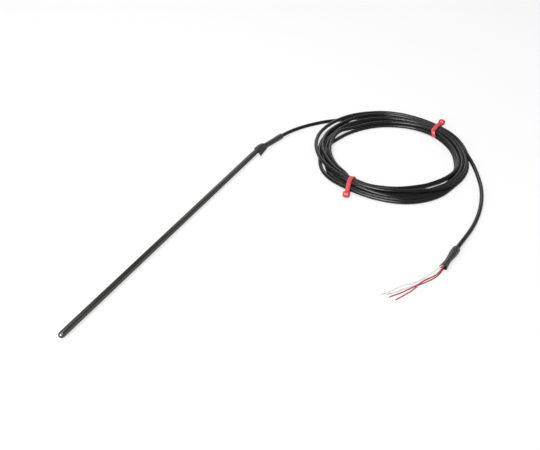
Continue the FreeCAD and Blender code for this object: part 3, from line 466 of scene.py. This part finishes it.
def finish_piece(name, sheet, material, slot, *nodes, sharp=40):
    """Turn a sheet into a smooth shaded piece that stands in for CAD nodes."""
    mesh = bpy.data.meshes.new(name)
    sheet.to_mesh(mesh)
    sheet.free()
    mesh.shade_smooth()
    mesh.set_sharp_from_angle(angle=math.radians(sharp))
    piece = add_object(name, mesh)
    dress(piece, material)
    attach(piece, "root")
    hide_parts(*nodes)
    return piece


# Materials

def add_node(tree, kind, **settings):
    """A node with its settings, and with values for the sockets that they name."""
    node = tree.nodes.new(kind)
    for name, value in settings.items():
        socket = node.inputs.get(name.replace("_", " "))
        if socket is not None and not hasattr(type(node), name):
            socket.default_value = value
        else:
            setattr(node, name, value)
    return node


def mottle_group():
    """Colour, roughness and relief of a surface that is cloudy at one scale and grained at another."""
    name = "Mottled finish"
    if name in bpy.data.node_groups:
        return bpy.data.node_groups[name]
    tree = bpy.data.node_groups.new(name, "ShaderNodeTree")
    sockets = (
        ("Place", "NodeSocketVector", None), ("Base", "NodeSocketColor", (0.5, 0.5, 0.5, 1)),
        ("Shade", "NodeSocketColor", (0.3, 0.3, 0.3, 1)), ("Bloom", "NodeSocketColor", (0.7, 0.7, 0.7, 1)),
        ("Cloud scale", "NodeSocketFloat", 60.0), ("Grain scale", "NodeSocketFloat", 900.0),
        ("Cloud share", "NodeSocketFloat", 0.5), ("Grain share", "NodeSocketFloat", 0.5),
        ("Smooth", "NodeSocketFloat", 0.3), ("Rough", "NodeSocketFloat", 0.5),
    )
    for label, kind, value in sockets:
        socket = tree.interface.new_socket(name=label, in_out="INPUT", socket_type=kind)
        if value is not None:
            socket.default_value = value
    for label, kind in (("Colour", "NodeSocketColor"), ("Roughness", "NodeSocketFloat"),
                        ("Height", "NodeSocketFloat")):
        tree.interface.new_socket(name=label, in_out="OUTPUT", socket_type=kind)
    given = tree.nodes.new("NodeGroupInput")
    result = tree.nodes.new("NodeGroupOutput")
    link = tree.links.new

    def mask(scale, detail):
        node = add_node(tree, "ShaderNodeTexNoise", Detail=detail, Roughness=0.6)
        link(given.outputs["Place"], node.inputs["Vector"])
        link(given.outputs[scale], node.inputs["Scale"])
        sharper = add_node(tree, "ShaderNodeMapRange", From_Min=0.33, From_Max=0.67)
        link(node.outputs[0], sharper.inputs["Value"])
        return sharper.outputs["Result"]

    def share_of(value, share):
        node = add_node(tree, "ShaderNodeMath", operation="MULTIPLY")
        link(value, node.inputs[0])
        link(given.outputs[share], node.inputs[1])
        return node.outputs[0]

    def blend(factor, first, second):
        node = add_node(tree, "ShaderNodeMix", data_type="RGBA")
        link(factor, node.inputs["Factor"])
        link(first, node.inputs[6])
        link(second, node.inputs[7])
        return node.outputs[2]

    cloud, grain = mask("Cloud scale", 3.0), mask("Grain scale", 2.0)
    shaded = blend(share_of(cloud, "Cloud share"), given.outputs["Base"], given.outputs["Shade"])
    bloomed = blend(share_of(grain, "Grain share"), shaded, given.outputs["Bloom"])
    link(bloomed, result.inputs["Colour"])
    rough = add_node(tree, "ShaderNodeMapRange")
    link(cloud, rough.inputs["Value"])
    link(given.outputs["Smooth"], rough.inputs["To Min"])
    link(given.outputs["Rough"], rough.inputs["To Max"])
    link(rough.outputs["Result"], result.inputs["Roughness"])
    link(grain, result.inputs["Height"])
    return tree


def colour(rgb, times=1.0):
    """A socket colour, made lighter or darker."""
    return (*[min(channel * times, 1.0) for channel in rgb], 1.0)


def mottled(name, base, shade=0.7, bloom=1.5, cloud=60.0, grain=900.0, cloud_share=0.5, grain_share=0.35,
            rough=(0.35, 0.5), relief=0.00002, **shader):
    """A material with the shared mottled finish, its own values and any plain values of its shader."""
    if name in bpy.data.materials:
        return bpy.data.materials[name]
    material = bpy.data.materials.new(name)
    material.use_nodes = True
    material.diffuse_color = colour(base)
    tree = material.node_tree
    link = tree.links.new
    principled = tree.nodes["Principled BSDF"]
    for label, value in shader.items():
        principled.inputs[label.replace("_", " ")].default_value = value
    place = add_node(tree, "ShaderNodeTexCoord")
    finish = add_node(tree, "ShaderNodeGroup", node_tree=mottle_group())
    for label, value in (("Base", colour(base)), ("Shade", colour(base, shade)),
                         ("Bloom", colour(base, bloom)), ("Cloud scale", cloud), ("Grain scale", grain),
                         ("Cloud share", cloud_share), ("Grain share", grain_share),
                         ("Smooth", rough[0]), ("Rough", rough[1])):
        finish.inputs[label].default_value = value
    link(place.outputs["Object"], finish.inputs["Place"])
    link(finish.outputs["Colour"], principled.inputs["Base Color"])
    link(finish.outputs["Roughness"], principled.inputs["Roughness"])
    bump = add_node(tree, "ShaderNodeBump", Strength=0.6, Distance=relief)
    link(finish.outputs["Height"], bump.inputs["Height"])
    link(bump.outputs["Normal"], principled.inputs["Normal"])
    return material


def shrunk_sleeve(colours):
    """Black shrunk plastic, mottled where it took more or less heat."""
    return mottled("Shrunk sleeve", colours.sleeve, shade=0.55, bloom=2.0, cloud=260, grain=1500,
                   cloud_share=0.8, rough=(0.24, 0.42), relief=0.00014, Specular_IOR_Level=0.5)


def red_insulation(colours):
    """Dark red wire insulation."""
    return mottled("Red insulation", colours.red_wire, cloud=200, grain=2500)


def white_insulation(colours):
    """Pale wire insulation."""
    return mottled("White insulation", colours.white_wire, shade=0.85, bloom=1.1, cloud=200, grain=2500)


class PROBE_OT_sheath(Operator):
    """Finish the metal sheath and its welded tip"""

    bl_idname = "probe.sheath"
    bl_label = "Sheath"

    def execute(self, context):
        colours = context.scene.probe_colours
        # Base colour darkened and edge tint dimmed, so the tube looks dark all over: painted shade in place of
        # the reflections of a dim room and of the shaded floor under it
        steel = mottled("Polished sheath with painted dark reflections", colours.sheath, shade=0.8, bloom=1.25, cloud=25, grain=1500,
                        rough=(0.16, 0.26), relief=0.000004, Metallic=1.0, Specular_Tint=(0.1, 0.1, 0.1, 1.0))
        for name in ("sheath_tube", "tip_cap"):
            dress(NODES[name], steel)
        return {"FINISHED"}


class PROBE_OT_inside(Operator):
    """Finish the element, its leads and splices, the core wires, the powder and the resin inside the sheath"""

    bl_idname = "probe.inside"
    bl_label = "Inside of the sheath"

    def execute(self, context):
        colours = context.scene.probe_colours
        finishes = {
            "element_chip": mottled("Alumina", (0.84, 0.84, 0.81), shade=0.9, bloom=1.08, cloud=900,
                                    grain=6000, rough=(0.5, 0.65)),
            "element_glaze": mottled("Fired glass", (0.70, 0.76, 0.68), shade=0.8, bloom=1.15, cloud=1200,
                                     grain=5000, rough=(0.08, 0.16), Transmission_Weight=0.35),
            "element_lead": mottled("Platinum wire", (0.72, 0.72, 0.70), shade=0.8, bloom=1.15, cloud=900,
                                    grain=9000, rough=(0.18, 0.3), Metallic=1.0),
            "splice_crimp": mottled("Crimp metal", (0.62, 0.54, 0.36), shade=0.75, bloom=1.2, cloud=700,
                                    grain=7000, rough=(0.25, 0.4), Metallic=1.0),
            "splice_sleeve": mottled("Amber film", (0.52, 0.27, 0.05), shade=0.75, bloom=1.3, cloud=500,
                                     grain=4000, rough=(0.2, 0.34)),
            "core_wire_red": red_insulation(colours),
            "core_wire_white": white_insulation(colours),
            "tip_filler": mottled("Packed powder", (0.72, 0.70, 0.65), shade=0.85, bloom=1.1, cloud=600,
                                  grain=7000, rough=(0.8, 0.95)),
            "potting_plug": mottled("Cured resin", (0.035, 0.035, 0.037), shade=0.7, bloom=1.8, cloud=400,
                                    grain=3000, rough=(0.22, 0.36)),
        }
        for start, finish in finishes.items():
            named = [node for name, node in NODES.items() if name.startswith(start)]
            if not named:
                raise RuntimeError(f"no node starts with {start}")
            for node in named:
                dress(node, finish)
        return {"FINISHED"}


class PROBE_OT_sleeves(Operator):
    """Shrink a sleeve on at each end of the lead: over the sheath's mouth and over the lead wires"""

    bl_idname = "probe.sleeves"
    bl_label = "Heat shrink sleeves"

    def execute(self, context):
        black = shrunk_sleeve(context.scene.probe_colours)
        self.mouth_sleeve(black)
        self.end_sleeve(black)
        return {"FINISHED"}

    def crease(self, sheet, x, hub, radius, ears, wall):
        """One section of the flattened sleeve: round on its hub and pressed to a thin crease on each side."""
        start = Vector(hub)
        turns = [math.radians(turn) for turn in range(0, 360, HUB_STEP)]
        fins = []
        for ear in ears:
            out = Vector(ear) - start
            middle = math.atan2(out.y, out.x)
            turns += [middle + math.radians(CREASE_STEP * step)
                      for step in range(-CREASE_STEPS, CREASE_STEPS + 1)]
            tip = max(CREASE_RADIUS - wall, CREASE_LEAST)
            fins.append((out.normalized(), out.length, tip, radius * CREASE_ROOT - wall))
        turns = sorted(turn % math.tau for turn in turns)
        ring = add_ring(sheet, Matrix.Identity(4), 1.0, len(turns))
        for vert, turn in zip(ring, turns):
            away = Vector((math.cos(turn), math.sin(turn)))
            reach = radius - wall
            for out, length, tip, root in fins:
                ahead, aside = away.dot(out), abs(away.cross(out))
                if ahead <= 0:
                    continue
                # Where this direction leaves a fin that narrows evenly from its root to its tip
                slope = (root - tip) / length
                edge = root / (aside + slope * ahead) if aside + slope * ahead > 0 else length
                reach = max(reach, min(edge, (length + tip * CREASE_TIP_SHARE) / max(ahead, 0.5)))
            y, z = start + away * reach
            vert.co = (x, y, z)
        return ring

    def mouth_sleeve(self, black):
        """The short sleeve over the sheath's mouth, pressed flat beside the sheath."""
        sheet = bmesh.new()
        outer = [self.crease(sheet, x, hub, radius, ears, 0) for x, hub, radius, ears in END_CREASES]
        inner = [self.crease(sheet, x, hub, radius, ears, SLEEVE_WALL)
                 for x, hub, radius, ears in reversed(END_CREASES)]
        # The front edge lies back over the sheath and runs forward into the low crease, the rear one is hollow
        front = [vert for ring in (outer[0], inner[-1]) for vert in ring]
        for vert in front:
            y = vert.co.y
            ahead = max(0.0, min(1.0, (FRONT_REACH_FROM - y) / FRONT_REACH_WIDTH))
            slant = FRONT_SLANT * max(0.0, y - FRONT_SLANT_FROM)
            vert.co.x = FRONT_EDGE - FRONT_REACH * ahead ** FRONT_REACH_CURVE + slant
        for number in (1, 2):
            for ring in (outer[number], inner[-1 - number]):
                for vert, edge in zip(ring, outer[number - 1]):
                    vert.co.x = max(vert.co.x, edge.co.x + SECTION_GAP)
        for ring in (outer[-1], inner[0]):
            for vert in ring:
                risen = (vert.co.y - REAR_HOLLOW_MIDDLE) ** 2 / REAR_HOLLOW_SPREAD
                vert.co.x -= REAR_HOLLOW - min(REAR_HOLLOW, risen)
        bmesh.ops.scale(sheet, vec=(MM, MM, MM), verts=sheet.verts)
        skin(sheet, outer + inner)
        crumple([vert for ring in outer[1:-1] for vert in ring], *MOUTH_CRUMPLE)
        finish_piece("mouth_sleeve", sheet, black, "heat_shrink", "sheath_end_sleeve", sharp=50)

    def end_sleeve(self, black):
        """The sleeve over the cable's end, from which the lead wires come."""
        sheet = bmesh.new()
        outer = [add_ring(sheet, Matrix.Translation((0, 0, distance)), radius)
                 for distance, radius in END_SLEEVE_SHAPE]
        inner = [add_ring(sheet, Matrix.Translation((0, 0, distance)),
                          max(radius - SLEEVE_WALL, END_SLEEVE_BORE))
                 for distance, radius in reversed(END_SLEEVE_SHAPE)]
        # The open end is flattened and hollowed, which leaves an ear on each side
        for ring in outer + inner:
            for vert in ring:
                flat = max(0.0, (vert.co.z - FLAT_FROM) / FLAT_LENGTH)
                vert.co.x *= 1 - FLAT_PRESS * flat
                vert.co.y *= 1 + FLAT_SPREAD * flat
        for ring in (outer[-1], inner[0]):
            for vert in ring:
                vert.co.z -= EAR_HOLLOW - min(EAR_HOLLOW, vert.co.y ** 2 / EAR_HOLLOW_SPREAD)
        # The wide end lies flat on the floor
        for ring in outer + inner:
            for vert in ring:
                vert.co.x = max(vert.co.x, END_SLEEVE_REST)
        crumple([vert for ring in outer[1:-1] for vert in ring], *END_CRUMPLE)
        bmesh.ops.scale(sheet, vec=(MM, MM, MM), verts=sheet.verts)
        skin(sheet, outer + inner)
        turn = math.radians(END_SLEEVE_TURN)
        place = across(Vector(END_SLEEVE_FROM) * MM, Vector((math.cos(turn), math.sin(turn), 0)))
        bmesh.ops.transform(sheet, matrix=place, verts=sheet.verts)
        finish_piece("wire_end_sleeve", sheet, black, "heat_shrink", "end_sleeve", sharp=50)


class PROBE_OT_ties(Operator):
    """Close the two cable ties round the coil"""

    bl_idname = "probe.ties"
    bl_label = "Cable ties"

    def execute(self, context):
        sizes, colours = context.scene.probe_sizes, context.scene.probe_colours
        nylon = mottled("Red nylon", colours.tie, shade=0.6, bloom=1.3, cloud=350, grain=2200,
                        cloud_share=0.4, rough=(0.38, 0.5), relief=0.00001)
        for name, (angle, slant, corners, middle, tilt) in TIES.items():
            sheet = bmesh.new()
            self.strap(sheet, corners, sizes)
            self.head(sheet, middle, tilt, sizes)
            out = math.radians(angle)
            reach = sizes.coil_radius
            place = Matrix.Translation((COIL_CENTRE[0] * MM + reach * math.cos(out),
                                        COIL_CENTRE[1] * MM + reach * math.sin(out), 0))
            place @= Matrix.Rotation(math.radians(angle + slant), 4, "Z")
            bmesh.ops.transform(sheet, matrix=place, verts=sheet.verts)
            finish_piece(name.replace("cable_tie", "tie"), sheet, nylon, "tie_nylon", name, sharp=35)
        return {"FINISHED"}

    def strap(self, sheet, corners, sizes):
        """A flat band that runs round the bundle and closes in the head."""
        verts = [sheet.verts.new((out * MM, shift * MM - sizes.strap_width / 2, high * MM))
                 for out, shift, high in corners]
        sheet.faces.new(verts)
        bent = [vert for number, vert in enumerate(verts) if number not in STRAIGHT_CORNERS]
        bmesh.ops.bevel(sheet, geom=bent, offset=STRAP_BEND, segments=STRAP_BEND_STEPS, profile=0.5,
                        affect="VERTICES", material=-1, clamp_overlap=True)
        bmesh.ops.delete(sheet, geom=sheet.faces[:], context="FACES_ONLY")
        grown = bmesh.ops.extrude_edge_only(sheet, edges=sheet.edges[:])["geom"]
        bmesh.ops.translate(sheet, vec=(0, sizes.strap_width, 0),
                            verts=[item for item in grown if isinstance(item, bmesh.types.BMVert)])
        bmesh.ops.recalc_face_normals(sheet, faces=sheet.faces)
        bmesh.ops.solidify(sheet, geom=sheet.faces[:], thickness=sizes.strap_thickness)
        rims = [edge for edge in sheet.edges if edge.calc_face_angle(0) > math.radians(80)]
        bmesh.ops.bevel(sheet, geom=rims, offset=STRAP_RIM, segments=2, profile=0.5, affect="EDGES",
                        material=-1)

    def head(self, sheet, middle, tilt, sizes):
        """The rounded locking head, hollow on top and round the strap's cut end."""
        body = bmesh.ops.create_cube(sheet, size=1)["verts"]
        bmesh.ops.scale(sheet, vec=HEAD_SIZE, verts=body)
        edges = once(edge for vert in body for edge in vert.link_edges)
        rounded = bmesh.ops.bevel(sheet, geom=edges, offset=HEAD_ROUND, segments=HEAD_STEPS, profile=0.5,
                                  affect="EDGES", material=-1)
        shell = once(vert for face in rounded["faces"] for vert in face.verts)
        faces = once(face for vert in shell for face in vert.link_faces)
        for side in (Vector((1, 0, 0)), Vector((0, 0, 1))):
            flat = max(faces, key=lambda face: face.normal.dot(side) * face.calc_area())
            bmesh.ops.inset_region(sheet, faces=[flat], thickness=WELL_RIM, depth=0)
            sunk = bmesh.ops.inset_region(sheet, faces=[flat], thickness=WELL_SLOPE, depth=-WELL_DEPTH)
            faces = once([*faces, *sunk["faces"]])
        place = Matrix.Translation((middle[0] * MM, 0, middle[1] * MM)) @ Matrix.Rotation(
            math.radians(-tilt), 4, "Y")
        whole = once(vert for face in faces if face.is_valid for vert in face.verts)
        cut_end = bmesh.ops.create_cube(sheet, size=1)["verts"]
        cut_size = (CUT_END_LENGTH, sizes.strap_width * CUT_END_SHARE, sizes.strap_thickness)
        bmesh.ops.scale(sheet, vec=cut_size, verts=cut_end)
        bmesh.ops.transform(sheet, matrix=place, verts=whole + cut_end)


class PROBE_OT_cable(Operator):
    """Lay the lead: out of the sheath through its strain relief, round the coil and on to its end sleeve"""

    bl_idname = "probe.cable"
    bl_label = "Cable"

    def execute(self, context):
        sizes, colours = context.scene.probe_sizes, context.scene.probe_colours
        points = metres([*LEAD_IN, *coil_points(sizes.coil_radius), *TAIL])
        cable = spline_cord("cable", points, sizes.cable_diameter)
        dress(cable, mottled("Cable jacket", colours.jacket, shade=0.6, bloom=2.2, cloud=90, grain=1400,
                             rough=(0.15, 0.25), relief=0.00003, Specular_IOR_Level=0.2))
        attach(cable, "root")
        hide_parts("cable_lead_in", "cable_coil", "cable_tail")
        carried = [self.strain_relief(centreline(cable), sizes, shrunk_sleeve(colours))]
        carried += [bpy.data.objects[name]
                    for name in ("mouth_sleeve", "wire_end_sleeve", "tie_front", "tie_rear")]
        return {"FINISHED"}

    def strain_relief(self, line, sizes, black):
        """The longer sleeve on the lead-in, thicker towards its end, where it stops in a step."""
        sheet = bmesh.new()
        outside, bore = sizes.relief_diameter / 2, sizes.cable_diameter / 2 + RELIEF_ROOM
        start, length = RELIEF_START, sizes.relief_length + RELIEF_UNDER
        shape = [(start, outside * 0.94), (start + RELIEF_FIRST, outside * 0.95)]
        shape += [(length * share, outside * wide) for share, wide in RELIEF_SHAPE]
        shape += [(length * 0.999, bore), (length * 0.9, bore), (start, bore)]
        rings = [add_ring(sheet, across(*along(line, distance)), radius) for distance, radius in shape]
        skin(sheet, rings)
        crumple([vert for ring in rings[:RELIEF_CRUMPLED] for vert in ring], *RELIEF_CRUMPLE)
        return finish_piece("strain_relief", sheet, black, "heat_shrink", "strain_relief_sleeve", sharp=60)


class PROBE_OT_lead_wires(Operator):
    """Lay the four lead wires"""

    bl_idname = "probe.lead_wires"
    bl_label = "Lead wires"

    def execute(self, context):
        sizes, colours = context.scene.probe_sizes, context.scene.probe_colours
        for name, route in WIRES.items():
            red = "red" in name
            wire = spline_cord(name.replace("lead_wire", "wire"), metres(route), sizes.wire_diameter)
            dress(wire, red_insulation(colours) if red else white_insulation(colours))
            bare = self.bare_end(name.replace("lead_wire", "bare_end"), route, sizes, colours)
            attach(wire, "root")
            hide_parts(name)
        return {"FINISHED"}

    def bare_end(self, name, route, sizes, colours):
        """Seven twisted strands past the end of the insulation."""
        last, end = metres(route[-2:])
        length = (RED_BARE_LENGTH if "red" in name else WHITE_BARE_LENGTH) * MM
        strand = sizes.conductor_diameter / 6
        sheet = bmesh.new()
        for number in range(STRANDS):
            ring = bmesh.ops.create_circle(sheet, cap_ends=True, segments=8, radius=strand)["verts"]
            if number:
                out = Matrix.Rotation(math.radians(60 * number), 3, "Z") @ Vector((2 * strand, 0, 0))
                bmesh.ops.translate(sheet, vec=out, verts=ring)
            geom = ring + once(edge for vert in ring for edge in vert.link_edges)
            geom += once(face for vert in ring for face in vert.link_faces)
            bmesh.ops.spin(sheet, geom=geom, cent=(0, 0, 0), axis=(0, 0, 1),
                           dvec=(0, 0, length / STRAND_STEPS), angle=math.radians(STRAND_TWIST),
                           steps=STRAND_STEPS)
        bmesh.ops.remove_doubles(sheet, verts=sheet.verts, dist=strand / 50)
        bmesh.ops.recalc_face_normals(sheet, faces=sheet.faces)
        bmesh.ops.transform(sheet, matrix=across(end, (end - last).normalized()), verts=sheet.verts)
        tinned = mottled("Tinned strands", colours.strand, shade=0.7, bloom=1.3, cloud=900, grain=6000,
                         rough=(0.22, 0.36), relief=0.000004, Metallic=1.0)
        return finish_piece(name.replace("bare_end", "strands"), sheet, tinned, "bare_strand", name)


class PROBE_OT_stage(Operator):
    """Set the floor, the lamps, the surroundings and the camera"""

    bl_idname = "probe.stage"
    bl_label = "Stage"

    def execute(self, context):
        settings = context.scene.probe_stage
        scene = context.scene
        scene.view_settings.view_transform = "Standard"
        self.floor(settings)
        self.surroundings(scene)
        powers = {
            "key": settings.key_power, "overhead": settings.key_power * OVERHEAD_SHARE,
            "spark": settings.spark_power, "rim": settings.key_power * RIM_SHARE,
        }
        for name, (place, aim, width) in LAMPS.items():
            lamp = self.lamp(name, place, aim, width, powers[name])
            if name in HIGHLIGHT_LAMPS:
                lamp.visible_diffuse = False
        self.camera(scene, settings)
        return {"FINISHED"}

    def floor(self, settings):
        """A pale disc that looks nearly white to the camera and still takes shadows."""
        sheet = bmesh.new()
        bmesh.ops.create_circle(sheet, cap_ends=True, segments=64, radius=FLOOR_RADIUS)
        bmesh.ops.translate(sheet, vec=(0, 0, -FLOOR_DROP), verts=sheet.verts)
        mesh = bpy.data.meshes.new("floor")
        sheet.to_mesh(mesh)
        sheet.free()
        floor = add_object("floor", mesh)
        material = bpy.data.materials.new("Pale floor")
        material.use_nodes = True
        tree = material.node_tree
        principled = tree.nodes["Principled BSDF"]
        principled.inputs["Base Color"].default_value = colour(settings.floor)
        principled.inputs["Roughness"].default_value = 0.8
        principled.inputs["Specular IOR Level"].default_value = 0.1
        seen = self.seen_rays(tree, *FLOOR_SEEN)
        white = add_node(tree, "ShaderNodeEmission", Color=(1, 1, 1, 1), Strength=1.0)
        mix = tree.nodes.new("ShaderNodeMixShader")
        tree.links.new(seen, mix.inputs[0])
        tree.links.new(principled.outputs[0], mix.inputs[1])
        tree.links.new(white.outputs[0], mix.inputs[2])
        tree.links.new(mix.outputs[0], tree.nodes["Material Output"].inputs["Surface"])
        dress(floor, material)

    def seen_rays(self, tree, *shares):
        """How white a thing is where the camera sees it itself, through something clear or in a reflection."""
        path = tree.nodes.new("ShaderNodeLightPath")
        total = None
        for label, share in shares:
            part = add_node(tree, "ShaderNodeMath", operation="MULTIPLY")
            part.inputs[1].default_value = share
            tree.links.new(path.outputs[label], part.inputs[0])
            if total is None:
                total = part.outputs[0]
                continue
            node = add_node(tree, "ShaderNodeMath", operation="MAXIMUM")
            tree.links.new(total, node.inputs[0])
            tree.links.new(part.outputs[0], node.inputs[1])
            total = node.outputs[0]
        return total

    def surroundings(self, scene):
        """A white room for what is lit, and one that darkens upwards for what reflects it."""
        world = bpy.data.worlds.new("Studio")
        scene.world = world
        world.use_nodes = True
        tree = world.node_tree
        link = tree.links.new
        ambient = tree.nodes["Background"]
        ambient.inputs["Color"].default_value = (1, 1, 1, 1)
        ambient.inputs["Strength"].default_value = AMBIENT
        place = tree.nodes.new("ShaderNodeTexCoord")
        split = tree.nodes.new("ShaderNodeSeparateXYZ")
        link(place.outputs["Generated"], split.inputs[0])
        fade = add_node(tree, "ShaderNodeMapRange", From_Min=0.1, From_Max=0.75, To_Min=1.0, To_Max=0.3)
        link(split.outputs["Z"], fade.inputs["Value"])
        shown = add_node(tree, "ShaderNodeBackground", Color=(1, 1, 1, 1))
        link(fade.outputs["Result"], shown.inputs["Strength"])
        mix = tree.nodes.new("ShaderNodeMixShader")
        link(self.seen_rays(tree, *WORLD_SEEN), mix.inputs[0])
        link(ambient.outputs[0], mix.inputs[1])
        link(shown.outputs[0], mix.inputs[2])
        link(mix.outputs[0], tree.nodes["World Output"].inputs["Surface"])

    def lamp(self, name, place, aim, width, power):
        """A round area lamp, turned to what it is aimed at."""
        data = bpy.data.lights.new(name, "AREA")
        data.shape = "DISK"
        data.size = width
        data.energy = power
        lamp = add_object(name, data)
        lamp.location = place
        lamp.rotation_euler = (Vector(aim) - Vector(place)).to_track_quat("-Z", "Y").to_euler()
        return lamp

    def camera(self, scene, settings):
        """The view that was fitted to the photograph."""
        data = bpy.data.cameras.new("photo_view")
        data.lens = settings.lens
        data.sensor_width = SENSOR_WIDTH
        data.sensor_fit = "HORIZONTAL"
        camera = add_object("photo_view", data)
        camera.location = CAMERA_PLACE
        camera.rotation_euler = Vector(CAMERA_DIRECTION).to_track_quat("-Z", "Y").to_euler()
        scene.camera = camera


class PROBE_PT_panel(Panel):
    """Sizes, colours and steps of the probe"""

    bl_label = "Probe"
    bl_space_type = "VIEW_3D"
    bl_region_type = "UI"
    bl_category = "Probe"

    def draw(self, context):
        for settings in (context.scene.probe_sizes, context.scene.probe_colours, context.scene.probe_stage):
            box = self.layout.box()
            for name in settings.__annotations__:
                box.prop(settings, name)
        for operator in OPERATORS:
            self.layout.operator(operator.bl_idname)


SETTINGS = (ProbeSizes, ProbeColours, StageSettings)
OPERATORS = (PROBE_OT_sheath, PROBE_OT_inside, PROBE_OT_sleeves, PROBE_OT_ties, PROBE_OT_cable,
             PROBE_OT_lead_wires, PROBE_OT_stage)


def register():
    for cls in (*SETTINGS, *OPERATORS, PROBE_PT_panel):
        bpy.utils.register_class(cls)
    bpy.types.Scene.probe_sizes = PointerProperty(type=ProbeSizes)
    bpy.types.Scene.probe_colours = PointerProperty(type=ProbeColours)
    bpy.types.Scene.probe_stage = PointerProperty(type=StageSettings)


def unregister():
    del bpy.types.Scene.probe_stage, bpy.types.Scene.probe_colours, bpy.types.Scene.probe_sizes
    for cls in reversed((*SETTINGS, *OPERATORS, PROBE_PT_panel)):
        bpy.utils.unregister_class(cls)


def main():
    register()
    bpy.ops.probe.sheath()
    bpy.ops.probe.inside()
    bpy.ops.probe.sleeves()
    bpy.ops.probe.ties()
    bpy.ops.probe.cable()
    bpy.ops.probe.lead_wires()
    bpy.ops.probe.stage()


if __name__ == "__main__":
    main()
